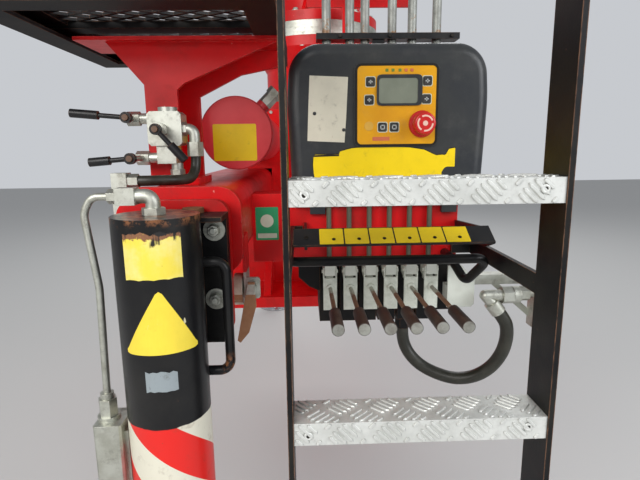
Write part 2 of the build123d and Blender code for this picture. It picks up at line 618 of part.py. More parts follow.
def valve_heads():
    """The fixed forks in front of the sections, with the pins that the levers turn on."""
    half = LEVER_W / 2 - EAR_T - HEAD_GAP
    reach = LEVER_W / 2 + PIN_STICK_OUT
    heads = []
    for x in LEVER_X:
        head = block((x - half, x + half), (PIVOT_Y - 11, PIVOT_Y + 9), (PIVOT_Z - 7, PIVOT_Z + 17))
        head += block((x - 7, x + 7), (PIVOT_Y + 5, PIVOT_Y + 11), (PIVOT_Z - 26, PIVOT_Z - 6))
        head += block((x - 7, x + 7), (PIVOT_Y + 5, VALVE_Y[0] - SEAT), (PIVOT_Z - 26, PIVOT_Z - 14))
        head += bar_x((x - reach, x + reach), PIVOT_Y, PIVOT_Z, PIN_R)
        heads.append(head)
    return Compound(heads)


def valve_end_plate():
    x = BANK_X[1] + 17
    y = PIVOT_Y + 3
    z = LEVER_BOTTOM_Z - 4
    right = x + 55
    outline = [(x, z), (right - 6, z), (right, z + 6), (right, z + 61), (right - 16, z + 74), (right - 28, z + 87),
               (x, z + 87)]
    plate = plate_xz(outline, (y, y + LEVER_T))
    return plate + block((x, x + 10), (y, VALVE_Y[0] - SEAT), (140, 175))


def lever(x):
    half = LEVER_W / 2
    front = LEVER_FRONT_Y
    back = PIVOT_Y + ROD_ARM + ROD_PIN_R + LEVER_T
    plate = block((x - half, x + half), (front, front + LEVER_T), (LEVER_BOTTOM_Z, PIVOT_Z - 12))
    outline = [(front, PIVOT_Z - 16), (back, PIVOT_Z - 9), (back, PIVOT_Z + 8), (front, PIVOT_Z + 9)]
    for ear_x in ((x - half, x - half + EAR_T), (x + half - EAR_T, x + half)):
        plate += plate_yz(outline, ear_x) - bar_x((x - half - 1, x + half + 1), PIVOT_Y, PIVOT_Z, PIN_R + RUN)
    plate += bar_x((x - half, x + half), PIVOT_Y + ROD_ARM, PIVOT_Z, ROD_PIN_R)
    plate += bar_y(x, (front - 6, front), STICK_Z, 2 * STICK_R)
    return plate + bar_y(x, (front - STICK_LENGTH, front), STICK_Z, STICK_R)


def grip(x):
    end = LEVER_FRONT_Y - STICK_LENGTH
    handle = bar_y(x, (end - GRIP_LENGTH, end), STICK_Z, GRIP_R)
    return chamfer(handle.edges().filter_by(GeomType.CIRCLE), 1.5)


def pull_rod(x):
    """Rod from the lever up into the console, open at its eye so that it can drift on the pin."""
    rod = bar_z(x, ROD_Y, (PIVOT_Z, ROD_TOP_Z), ROD_R)
    rod += bar_x((x - ROD_R - 1, x + ROD_R + 1), ROD_Y, PIVOT_Z, ROD_EYE_R)
    return rod - bar_x((x - 2 * ROD_R, x + 2 * ROD_R), ROD_Y, PIVOT_Z, ROD_PIN_R + 0.5)


def label_strip():
    y, z = STRIP_EDGE
    top = (y + STRIP_RUN, z + STRIP_RISE)
    tilt = [(y, z), top, (top[0] - 2, top[1] + STRIP_T), (y - 2, z + STRIP_T)]
    strip = plate_yz(tilt, STRIP_X)
    for x in (STRIP_X[0] + 18, STRIP_X[1] - STRIP_ARM_T):
        arm = [(y, z), top, (PANEL_Y, z + 10), (PANEL_Y, z - 15), (top[0], z - 12)]
        strip += plate_yz(arm, (x, x + STRIP_ARM_T))
    return strip


def guard_bar():
    """One bent rod: out from the panel, along the levers, then down and back in a hook."""
    route = [(GUARD_LEFT_X, PANEL_Y, GUARD_Z), (GUARD_LEFT_X, GUARD_Y, GUARD_Z), (GUARD_RIGHT_X, GUARD_Y, GUARD_Z),
             (GUARD_RIGHT_X - 24, GUARD_Y + 50, GUARD_Z - 56), (GUARD_RIGHT_X - 40, GUARD_Y + 100, GUARD_Z - 18),
             (GUARD_RIGHT_X - 40, PANEL_Y, GUARD_Z - 18)]
    return bent_bar(route, GUARD_R, [22, 18, 18, 14])


# Console
def console_housing():
    x0, x1 = CONSOLE_X
    z0 = PANEL_Z[1]
    z1 = CONSOLE_TOP_Z
    waist = z1 - CONSOLE_WAIST
    taper = CONSOLE_TAPER
    points = [(x0 + taper, z0), (x0, waist), (x0 + taper, z1), (x1 - taper, z1), (x1, waist), (x1 - taper, z0)]
    outline = FilletPolyline(*points, radius=[400, CONSOLE_CORNER_R, CONSOLE_CORNER_R, 400])
    face = make_face(Curve() + [outline, Line(points[-1], points[0])])
    body = Pos(0, CONSOLE_Y[1], 0) * extrude(Plane.XZ * face, CONSOLE_Y[1] - CONSOLE_Y[0])
    body = fillet(body.faces().sort_by(Axis.Y)[0].edges(), CONSOLE_EDGE_R)
    rim = DASH_RIM
    front = CONSOLE_Y[0]
    dash_x = (DASH_X[0] - SEAT, DASH_X[1] + SEAT)
    dash_z = (DASH_Z[0] - SEAT, DASH_Z[1] + SEAT)
    rim_x = (dash_x[0] - rim, dash_x[1] + rim)
    rim_z = (dash_z[0] - rim, dash_z[1] + rim)
    body += rounded_plate_xz(rim_x, rim_z, 12, (front - DASH_T, front + 1))
    body -= rounded_plate_xz(dash_x, dash_z, 8, (front - DASH_T - 1, front))
    for x in LEVER_X:
        body -= bar_z(x, ROD_Y, (z0 - 1, ROD_TOP_Z + 15), ROD_R + 2.5)
    for x in (x0 + 40, x1 - 80):
        body += block((x, x + 30), (CONSOLE_Y[0] + 20, CONSOLE_Y[0] + 31), (z0 - 16, z0 + 1))
    return body


def console_panel():
    return rounded_plate_xz(DASH_X, DASH_Z, 8, (CONSOLE_Y[0] - DASH_T, CONSOLE_Y[0]))


def console_display():
    y = CONSOLE_Y[0] - DASH_T
    return rounded_plate_xz(DISPLAY_X, DISPLAY_Z, 5, (y - GLASS_T, y))


KEYS = [(68, 569), (66, 537), (173, 570), (172, 538), (91, 488), (113, 488)]     # x, z


def console_keys():
    y = CONSOLE_Y[0] - DASH_T
    half = KEY_R
    keys = []
    for x, z in KEYS:
        keys.append(rounded_plate_xz((x - half, x + half), (z - half, z + half), 2, (y - GLASS_T, y)))
    return Compound(keys)


def emergency_stop():
    y = CONSOLE_Y[0] - DASH_T
    stop = bar_y(STOP_X, (y - 5, y), STOP_Z, STOP_R + 4)
    stop += bar_y(STOP_X, (y - 16, y), STOP_Z, STOP_R * 0.6)
    head = bar_y(STOP_X, (y - 30, y - 14), STOP_Z, STOP_R)
    return stop + fillet(head.edges().sort_by(Axis.Y)[0], 4)


# Ladder
def ladder_stiles():
    stiles = []
    for x, in_board, stay_z in ((STILE_LEFT_X, 24, STAY_Z[0]), (STILE_RIGHT_X - STILE_T, -37, STAY_Z[1])):
        stile = block((x, x + STILE_T), STILE_Y, STILE_Z)
        stile += block((x, x + STILE_T), (STILE_Y[1] - 1, PANEL_Y - SEAT), (stay_z, stay_z + STAY_H))
        foot = sorted((x + STILE_T / 2, x + in_board))
        stile += block(foot, (PANEL_Y - STILE_T - SEAT, PANEL_Y - SEAT), (stay_z, stay_z + STAY_H))
        stiles.append(stile)
    return Compound(stiles)


def ladder_step(top):
    x = (STILE_LEFT_X + STILE_T, STILE_RIGHT_X - STILE_T)
    y = (STILE_Y[0] + 2, STILE_Y[1] - 2)
    step = block(x, y, (top - STEP_LIP, top))
    hollow_x = (x[0] + STEP_T, x[1] - STEP_T)
    return step - block(hollow_x, (y[0] + STEP_T, y[1] + 1), (top - STEP_LIP - 1, top - STEP_T))


def ladder_steps():
    tops = [STEP_TOP_Z + (i - STEPS_BELOW) * STEP_SPACING for i in range(STEP_COUNT)]
    return Compound([ladder_step(top) for top in tops])


# Selector valve on the post, its three handles and its hose
# hub x and z, depth before the valve's front, grip end x and z, all from the valve's middle
HANDLES = [
    (-57, 16, 17, -146, 24),
    (-46, -50, 45, -111, -55),
    (-5, -4, 37, 39, -54),
]
HOSE_Y = SELECTOR_Y + 15
HOSE_Z = HOUSING_TOP_Z + 13     # above the beam housing
SELECTOR_HOSE = [
    (SELECTOR_X + 45, HOSE_Y, SELECTOR_Z - 48),
    (SELECTOR_X + 45, HOSE_Y, HOSE_Z + 24.5),
    (SELECTOR_X + 43.5, HOSE_Y - 4.6, HOSE_Z + 13),
    (SELECTOR_X + 40.8, HOSE_Y - 12.9, HOSE_Z + 4.2),
    (SELECTOR_X + 37.2, HOSE_Y - 23.9, HOSE_Z - 0.4),
    (SELECTOR_X + 26, HOSE_Y - 42, HOSE_Z - 1),
    (SELECTOR_X + 5, HOSE_Y - 61, HOSE_Z),
    (SELECTOR_X - 14, HOSE_Y - 69, HOSE_Z),
    (HOUSING_LEFT_X + 16, HOSE_Y - 69, HOSE_Z),
]
SELECTOR_HOSE_R = 8.5


def selector_valve():
    x, y, z = SELECTOR_X, SELECTOR_Y, SELECTOR_Z
    back = POST_Y[0]
    body = block((x - 30, x + 27), (y, back), (z - 30, z + 27))
    body = chamfer(body.edges().filter_by(Axis.Y), 5)
    body += bar_z(x + 2, y + 16, (z + 26, z + 34), 16)
    body += block((x - 18, x + 14), (y + 4, back), (z - 60, z - 29))
    body += hexagon((x + 12, y + 18, z - 70), (x + 12, y + 18, z - 84), 22)
    body += bar_z(x + 12, y + 18, (z - 71, z - 59), 10)
    body += hexagon((x - 5, y - 12, z - 4), (x - 5, y + 1, z - 4), 20)
    for hub_x, hub_z, depth, _, _ in HANDLES:
        inner = y + 18
        body += bar_y(x + hub_x, (y - depth - 8, inner if hub_x < -30 else y + 1), z + hub_z, SPINDLE_R)
        if hub_x < -30:
            body += hexagon((x + hub_x - 10, inner, z + hub_z), (x + hub_x + 12, inner, z + hub_z), 21)
            body += bar_x((x + hub_x + 11, x - 17), inner, z + hub_z, 9)
    elbow_y = y + 15
    hose_x, hose_y, hose_z = SELECTOR_HOSE[0]
    body += hexagon((x + 26, elbow_y, z - 2), (x + 33, elbow_y, z - 2), 20)
    body += bent_bar([(x + 30, elbow_y, z - 2), (hose_x, elbow_y, z - 2), (hose_x, hose_y, hose_z + 22)], 9, [11])
    return body + hexagon((hose_x, hose_y, hose_z), (hose_x, hose_y, hose_z + 24), 24)


def hose_port():
    """The block on the side of the beam housing that the selector's hose is screwed into."""
    x, y, z = SELECTOR_HOSE[-1]
    left = HOUSING_LEFT_X - SEAT
    port = block((left - 24, left), (y - 12, y + 12), (HOUSING_TOP_Z - 50, z + 13))
    return port + hexagon((left - 1, y, z), (x, y, z), 20)


def selector_handle(hub_x, hub_z, depth, end_x, end_z):
    x = SELECTOR_X + hub_x
    y = SELECTOR_Y - depth
    z = SELECTOR_Z + hub_z
    start = Vector(x, y, z)
    along = Vector(SELECTOR_X + end_x, y, SELECTOR_Z + end_z) - start
    handle = bar_y(x, (y - 5, y + 5 - SEAT), z, HUB_R) + bar_between(start, start + along, 4)
    handle += bar_between(start + along * 0.5, start + along, SLEEVE_R)
    return handle - bar_y(x, (y - 6, y + 6), z, SPINDLE_R + RUN)


def cord_radii(points):
    """Each bend's radius: 0.45 of its shorter run over the tangent of half the turn."""
    radii = []
    for a, b, c in zip(points, points[1:], points[2:]):
        first = Vector(b) - Vector(a)
        second = Vector(c) - Vector(b)
        half_turn = radians(first.get_angle(second)) / 2
        radii.append(0.45 * min(first.length, second.length) / tan(half_turn))
    print([round(r) for r in radii])
    return radii


def selector_hose():
    return bent_bar(SELECTOR_HOSE, SELECTOR_HOSE_R, cord_radii(SELECTOR_HOSE))


def return_hose():
    return bent_bar(RETURN_HOSE, RETURN_HOSE_R, cord_radii(RETURN_HOSE))


def hose_bracket():
    """Angle on the valve bank's end plate, with the return line's elbow and screwed fittings."""
    back = PIVOT_Y + 3 + LEVER_T + SEAT
    leaf = (back, back + 5)
    rail_x = (240, 403)
    bracket = block(rail_x, leaf, (176, 196)) + block(rail_x, (back, back + 26), (191, 196))
    bracket += plate_xz([(318, 177), (334, 177), (399, 122), (399, 106)], leaf)
    bracket += block((398, 403), (-925, leaf[1]), (90, 196))
    y = RETURN_HOSE[-1][1]
    corner = (295, y, 163)
    bracket += bar_between(RETURN_HOSE[-1], (307.7, y, 148.7), 15) + bar_between((309, y, 147), corner, 11)
    bracket += Pos(*corner) * Sphere(11) + bar_between(corner, (330, y, 163), 11)
    bracket += hexagon((327, y, 163), (349, y, 163), 30) + bar_x((348, 362), y, 164, 16)
    bracket += hexagon((362, y, 166), (379, y, 166), 26) + bar_x((378, 399), y, 166, 9)
    return bracket


# Pressure pipes behind the console, with their clamp and bulkhead
def pressure_pipes():
    pipes = []
    for x in PIPE_X:
        route = [(x, PIPE_Y, PANEL_Z[0]), (x, PIPE_Y, PIPE_RUN_Z), (x, PIPE_END_Y, PIPE_RUN_Z)]
        pipes.append(bent_bar(route, PIPE_OUTER_R, [PIPE_BEND_R]))
    return Compound(pipes)


def pipe_supports():
    """Clamp across the pipes, on a strip that stands behind the bracket."""
    clamp = block((-27, 261), (PIPE_Y - 18, PIPE_Y + 18), CLAMP_Z)
    back = PANEL_Y + PANEL_DEPTH
    clamp += block((85, 110), (back, back + 6), (PANEL_Z[0] + 1, CLAMP_Z[1]))
    for x in PIPE_X:
        clamp -= bar_z(x, PIPE_Y, (CLAMP_Z[0] - 1, CLAMP_Z[1] + 1), PIPE_OUTER_R + SEAT)
    return clamp


def pipe_bulkhead():
    """The plate that the pipes end at, on an arm from the tower."""
    thickness = (PIPE_END_Y, PIPE_END_Y + 8)
    plate = block((-40, 250), thickness, (PIPE_RUN_Z - 60, PIPE_RUN_Z + 30))
    plate += block((60, 90), thickness, (650, PIPE_RUN_Z - 50))
    plate += block((60, 90), (PIPE_END_Y, -150), (650, 690))
    return plate - bar_z(0, 0, (600, PIPE_RUN_Z), TOWER_R + SEAT)


nodes = {
    "crane_base": crane_base(),
    "beam_housing": beam_housing(),
    "beam_lock": beam_lock(),
    "slewing_cylinder": slewing_cylinder(),
    "slew_ring": slew_ring(),
    "slewing_head": slewing_head(),
    "platform_post": platform_post(),
    "platform_frame": platform_frame(),
    "platform_mesh": platform_mesh(),
    "control_bracket": control_bracket(),
    "valve_bank": valve_bank(),
    "valve_heads": valve_heads(),
    "valve_end_plate": valve_end_plate(),
    "label_strip": label_strip(),
    "guard_bar": guard_bar(),
    "console_housing": console_housing(),
    "console_panel": console_panel(),
    "console_display": console_display(),
    "console_keys": console_keys(),
    "emergency_stop": emergency_stop(),
    "ladder_stiles": ladder_stiles(),
    "ladder_steps": ladder_steps(),
    "selector_valve": Compound([selector_valve(), hose_port()]),
    "selector_hose": selector_hose(),
    "return_hose": return_hose(),
    "hose_bracket": hose_bracket(),
    "pressure_pipes": pressure_pipes(),
    "pipe_supports": pipe_supports(),
    "pipe_bulkhead": pipe_bulkhead(),
}
for number, x in enumerate(LEVER_X, 1):
    nodes[f"lever_{number}"] = lever(x)
    nodes[f"grip_{number}"] = grip(x)
    nodes[f"pull_rod_{number}"] = pull_rod(x)
for number, sizes in enumerate(HANDLES, 1):
    nodes[f"selector_handle_{number}"] = selector_handle(*sizes)
sides = {
    "beam": stabiliser_beam,
    "leg_tube": leg_tube,
    "leg_bracket": leg_bracket,
    "leg_ram": leg_ram,
    "leg_pipe": leg_pipe,
}
for name, make in sides.items():
    nodes[f"{name}_near"] = make()
    nodes[f"{name}_far"] = mirrored(make())

for name, shape in nodes.items():
    export_step(shape, f"parts/{name}.step")
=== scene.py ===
import json
import math

import bmesh
import bpy
from mathutils import Matrix, Vector


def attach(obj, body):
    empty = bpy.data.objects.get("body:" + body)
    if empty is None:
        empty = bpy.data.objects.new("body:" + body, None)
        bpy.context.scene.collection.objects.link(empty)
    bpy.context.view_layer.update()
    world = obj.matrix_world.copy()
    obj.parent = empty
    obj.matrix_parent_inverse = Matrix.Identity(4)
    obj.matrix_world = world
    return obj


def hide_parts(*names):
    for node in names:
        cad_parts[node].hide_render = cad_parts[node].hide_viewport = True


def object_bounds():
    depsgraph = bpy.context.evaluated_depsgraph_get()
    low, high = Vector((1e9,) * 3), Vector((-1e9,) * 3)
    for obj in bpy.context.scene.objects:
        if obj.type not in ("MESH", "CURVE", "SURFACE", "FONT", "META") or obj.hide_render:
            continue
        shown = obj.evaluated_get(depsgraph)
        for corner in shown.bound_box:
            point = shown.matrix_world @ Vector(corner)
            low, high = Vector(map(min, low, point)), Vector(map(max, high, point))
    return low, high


# The dressed base unit of a truck-mounted crane. Metres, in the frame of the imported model.

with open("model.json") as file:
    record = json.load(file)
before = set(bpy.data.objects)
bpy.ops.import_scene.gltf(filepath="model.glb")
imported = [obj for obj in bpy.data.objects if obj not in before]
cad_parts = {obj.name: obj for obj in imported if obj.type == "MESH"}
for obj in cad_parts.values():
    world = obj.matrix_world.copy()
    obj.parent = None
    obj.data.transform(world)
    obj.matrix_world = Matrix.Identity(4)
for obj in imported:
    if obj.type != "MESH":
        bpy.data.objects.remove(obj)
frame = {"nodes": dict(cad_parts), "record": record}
CAD_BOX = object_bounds()
NODES = frame["nodes"]
RECORD = frame["record"]
SLOTS = {part["node"]: part["material_slot"] for part in RECORD["subparts"]}
MM = 0.001
SKIN = 0.0004                   # how far a sticker stands proud of its surface
FRONT = (0.0, -1.0, 0.0)        # the way the operator's side looks
RED = (0.70, 0.004, 0.006)


# Small tools for node materials
class Paint:
    """A node material under construction: every method adds nodes and returns an output socket."""

    def __init__(self, name):
        self.material = bpy.data.materials.new(name)
        self.material.use_nodes = True
        self.nodes = self.material.node_tree.nodes
        self.links = self.material.node_tree.links
        self.shader = self.nodes["Principled BSDF"]
        self.place = self.nodes.new("ShaderNodeTexCoord").outputs["Object"]

    def feed(self, socket, value):
        if isinstance(value, bpy.types.NodeSocket):
            self.links.new(value, socket)
        elif isinstance(value, (tuple, list)) and len(value) == 3 and socket.type == "RGBA":
            socket.default_value = (*value, 1.0)
        else:
            socket.default_value = value

    def set(self, **values):
        names = {"color": "Base Color", "metal": "Metallic", "rough": "Roughness", "coat": "Coat Weight",
                 "coat_rough": "Coat Roughness", "normal": "Normal", "shine": "Specular IOR Level"}
        for key, value in values.items():
            self.feed(self.shader.inputs[names[key]], value)

    def noise(self, scale, detail=4.0, rough=0.6, stretch=None, offset=(0.0, 0.0, 0.0)):
        node = self.nodes.new("ShaderNodeTexNoise")
        node.inputs["Scale"].default_value = scale
        node.inputs["Detail"].default_value = detail
        node.inputs["Roughness"].default_value = rough
        move = self.nodes.new("ShaderNodeMapping")
        move.inputs["Scale"].default_value = stretch or (1.0, 1.0, 1.0)
        move.inputs["Location"].default_value = offset
        self.links.new(self.place, move.inputs["Vector"])
        self.links.new(move.outputs["Vector"], node.inputs["Vector"])
        return node.outputs["Fac"]

    def ramp(self, fac, low, high, flip=False):
        """0 below low, 1 above high, or the other way round with flip."""
        node = self.nodes.new("ShaderNodeMapRange")
        node.interpolation_type = "SMOOTHSTEP"
        self.feed(node.inputs["Value"], fac)
        node.inputs["From Min"].default_value = low
        node.inputs["From Max"].default_value = high
        node.inputs["To Min"].default_value = 1.0 if flip else 0.0
        node.inputs["To Max"].default_value = 0.0 if flip else 1.0
        return node.outputs["Result"]

    def cloud(self, *noise, **more):
        """Broad soft patches."""
        return self.ramp(self.noise(*noise, **more), 0.35, 0.7)

    def span(self, fac, low, high):
        """A 0 to 1 value stretched between low and high."""
        node = self.nodes.new("ShaderNodeMapRange")
        self.feed(node.inputs["Value"], fac)
        node.inputs["To Min"].default_value = low
        node.inputs["To Max"].default_value = high
        return node.outputs["Result"]

    def math(self, kind, a, b=0.0):
        node = self.nodes.new("ShaderNodeMath")
        node.operation = kind
        self.feed(node.inputs[0], a)
        self.feed(node.inputs[1], b)
        return node.outputs[0]

    def times(self, a, b):
        return self.math("MULTIPLY", a, b)

    def plus(self, a, b):
        return self.math("ADD", a, b)

    def less(self, a, b):
        return self.math("SUBTRACT", a, b)

    def most(self, a, b):
        return self.math("MAXIMUM", a, b)

    def mix(self, fac, a, b):
        node = self.nodes.new("ShaderNodeMix")
        node.data_type = "RGBA"
        self.feed(node.inputs[0], fac)
        self.feed(node.inputs[6], a)
        self.feed(node.inputs[7], b)
        return node.outputs[2]

    def axis(self, which):
        node = self.nodes.new("ShaderNodeSeparateXYZ")
        self.links.new(self.place, node.inputs[0])
        return node.outputs[which]

    def ambient_shade(self, reach):
        """How shut in a point is, for painted shade: 0 in the open, towards 1 in corners that other surfaces shut in
        within a reach.
        """
        node = self.nodes.new("ShaderNodeAmbientOcclusion")
        node.samples = 6
        node.inputs["Distance"].default_value = reach
        return self.math("SUBTRACT", 1.0, node.outputs["AO"])

    def edges(self, radius):
        """1 along the edges of the piece, 0 on its flats."""
        bevel = self.nodes.new("ShaderNodeBevel")
        bevel.samples = 4
        bevel.inputs["Radius"].default_value = radius
        geometry = self.nodes.new("ShaderNodeNewGeometry")
        dot = self.nodes.new("ShaderNodeVectorMath")
        dot.operation = "DOT_PRODUCT"
        self.links.new(bevel.outputs["Normal"], dot.inputs[0])
        self.links.new(geometry.outputs["Normal"], dot.inputs[1])
        away = self.math("SUBTRACT", 1.0, dot.outputs["Value"])
        return self.ramp(away, 0.0, 0.25)

    def bump(self, height, distance, strength=1.0, soften=0.0):
        node = self.nodes.new("ShaderNodeBump")
        node.inputs["Distance"].default_value = distance
        node.inputs["Strength"].default_value = strength
        self.feed(node.inputs["Height"], height)
        if soften:
            bevel = self.nodes.new("ShaderNodeBevel")
            bevel.samples = 4
            bevel.inputs["Radius"].default_value = soften
            self.links.new(bevel.outputs["Normal"], node.inputs["Normal"])
        return node.outputs["Normal"]


def painted(name, color, edge_and_chip_color, dirt_color, rough=0.32, edge=0.0015, dirt=0.35, chips=0.5, coat=0.07, shine=0.35):
    """Sprayed paint: faint orange peel, worn edges, chips and a film of dirt; on the red paint the pale edges are also
    a painted edge highlight.
    """
    p = Paint(name)
    tone = p.noise(6.0, 5.0)
    shade = tuple(c * 0.78 for c in color)
    body = p.mix(p.ramp(tone, 0.35, 0.7), color, shade)
    film = p.times(p.ramp(p.noise(14.0, 8.0, 0.7), 0.45, 0.75), dirt)
    body = p.mix(film, body, dirt_color)
    # worn edges, patchy by noise, in the edge colour; where that colour is a pale pink, as on the red paint, it is also
    # a painted edge highlight
    worn = p.times(p.edges(edge), p.ramp(p.noise(60.0, 6.0, 0.7), 0.42, 0.6))
    spots = p.ramp(p.noise(95.0, 3.0, 0.5, offset=(3.0, 1.0, 2.0)), 0.80 - 0.12 * chips, 0.84 - 0.12 * chips)
    worn = p.most(worn, spots)
    p.set(color=p.mix(worn, body, edge_and_chip_color))
    rough_map = p.plus(p.span(tone, rough - 0.06, rough + 0.08), p.times(film, 0.4))
    p.set(rough=p.plus(rough_map, p.times(worn, 0.25)))
    peel = p.plus(p.times(p.noise(420.0, 2.0), 0.25), p.times(worn, -0.8))
    p.set(normal=p.bump(peel, 0.0004, 0.5, soften=0.0012), coat=coat, coat_rough=0.15, shine=shine)
    return p.material


def metal(name, color, dark, rough=0.4, brush=None, stain=0.4, shiny=0.95, crevice=0.0, rusty_ends=()):
    """Bare or plated metal: cloudy tone, stains, painted shade in crevices, and brushing or grain."""
    p = Paint(name)
    cloud = p.noise(25.0, 7.0, 0.65)
    body = p.mix(p.ramp(cloud, 0.35, 0.7), color, dark)
    grime = p.times(p.ramp(p.noise(45.0, 6.0, 0.75, offset=(5.0, 2.0, 0.0)), 0.5, 0.72), stain)
    body = p.mix(grime, body, (0.09, 0.075, 0.055))
    metallic = p.span(grime, shiny, 0.35)
    if crevice:
        # painted shade: a dark grey laid into corners that nearby surfaces shut in, such as beside the chequer bars
        corner = p.ramp(p.ambient_shade(crevice), 0.20, 0.60)
        body = p.mix(p.times(corner, 0.85), body, (0.10, 0.10, 0.085))
    for place in rusty_ends:
        aside = [p.less(p.axis(i), place[i]) for i in (0, 2)]
        out = p.math("SQRT", p.plus(*(p.times(a, a) for a in aside)))
        end = p.times(p.ramp(out, 0.0056, 0.0064, flip=True),
                      p.ramp(p.axis(1), place[1] - 0.005, place[1] - 0.004, flip=True))
        body = p.mix(end, body, p.mix(cloud, (0.17, 0.075, 0.03), (0.07, 0.05, 0.04)))
        metallic = p.times(metallic, p.less(1.0, end))
    p.set(color=body, metal=metallic)
    grain = p.noise(300.0, 2.0, 0.5, stretch=brush) if brush else p.noise(220.0, 3.0)
    p.set(rough=p.plus(p.span(grain, rough - 0.1, rough + 0.12), p.times(grime, 0.3)))
    p.set(normal=p.bump(grain, 0.0002, 0.35, soften=0.0008))
    return p.material


def rubber(name, color, dust, rough=0.7):
    """Grained rubber under a film of dust."""
    p = Paint(name)
    film = p.ramp(p.noise(30.0, 8.0, 0.7), 0.42, 0.72)
    p.set(color=p.mix(p.times(film, 0.6), color, dust))
    p.set(rough=p.span(film, rough - 0.15, rough + 0.1))
    p.set(normal=p.bump(p.noise(500.0, 3.0, 0.6), 0.0003, 0.6))
    return p.material


def plastic(name, color, shade, rough=0.45, grain=900.0, dust=0.25, coat=0.0):
    """Moulded plastic with a fine grain, scuffs and some dust."""
    p = Paint(name)
    tone = p.noise(9.0, 5.0)
    film = p.times(p.ramp(p.noise(24.0, 8.0, 0.7), 0.48, 0.75), dust)
    body = p.mix(p.ramp(tone, 0.35, 0.7), color, shade)
    p.set(color=p.mix(film, body, (0.22, 0.21, 0.19)))
    scuff = p.ramp(p.noise(120.0, 4.0, 0.6, stretch=(1.0, 1.0, 0.15)), 0.6, 0.75)
    p.set(rough=p.plus(p.span(tone, rough - 0.05, rough + 0.07), p.times(scuff, 0.12)))
    p.set(normal=p.bump(p.noise(grain, 2.0, 0.5), 0.00012, 0.5, soften=0.001))
    p.set(coat=coat, coat_rough=0.2, shine=0.4)
    return p.material


def sticker(name, color, worn=(0.5, 0.45, 0.35), amount=0.35, rough=0.38):
    """A printed plate or sticker without print: faded, scratched, grimy."""
    p = Paint(name)
    fade = p.ramp(p.noise(22.0, 6.0, 0.6), 0.35, 0.75)
    body = p.mix(p.times(fade, 0.35), color, tuple(0.75 * c for c in color))
    scratch = p.ramp(p.noise(160.0, 6.0, 0.75, stretch=(1.0, 1.0, 0.35)), 0.62, 0.70)
    grime = p.ramp(p.noise(55.0, 8.0, 0.75, offset=(2.0, 0.0, 4.0)), 0.55, 0.8)
    body = p.mix(p.times(scratch, amount), body, worn)
    body = p.mix(p.times(grime, amount), body, (0.06, 0.045, 0.02))
    p.set(color=body, rough=p.span(grime, rough - 0.05, rough + 0.3))
    p.set(normal=p.bump(p.noise(140.0, 3.0), 0.0001, 0.4), coat=0.05, coat_rough=0.25, shine=0.35)
    return p.material


def torn_plate(name, top, depth):
    """A yellow plate that is rusted and torn along its upper edge and faded below."""
    p = Paint(name)
    down = p.less(top, p.axis(2))
    ragged = p.plus(down, p.times(p.less(p.noise(60.0, 7.0, 0.7), 0.5), -depth * 2.2))
    rusted = p.ramp(ragged, depth * 0.45, depth * 0.6, flip=True)
    black = p.ramp(ragged, depth * 0.05, depth * 0.2, flip=True)
    fade = p.ramp(p.noise(26.0, 6.0), 0.4, 0.7)
    body = p.mix(fade, (0.84, 0.68, 0.07), (0.85, 0.74, 0.26))
    scratch = p.ramp(p.noise(150.0, 6.0, 0.75, stretch=(1.0, 1.0, 0.4)), 0.66, 0.72)
    body = p.mix(scratch, body, (0.10, 0.07, 0.03))
    rust = p.mix(p.noise(80.0, 6.0, 0.7), (0.14, 0.055, 0.025), (0.33, 0.15, 0.07))
    body = p.mix(rusted, body, rust)
    streaks = p.ramp(p.noise(95.0, 2.0, 0.5, stretch=(1.0, 1.0, 0.10), offset=(2.0, 0.0, 0.0)), 0.60, 0.66)
    streaks = p.times(streaks, p.ramp(ragged, depth * 0.75, depth * 1.05, flip=True))
    black = p.most(black, streaks)
    p.set(color=p.mix(black, body, (0.014, 0.012, 0.012)), rough=p.span(rusted, 0.4, 0.75))
    p.set(normal=p.bump(p.times(rusted, p.noise(200.0, 4.0)), 0.0004, 0.6))
    return p.material


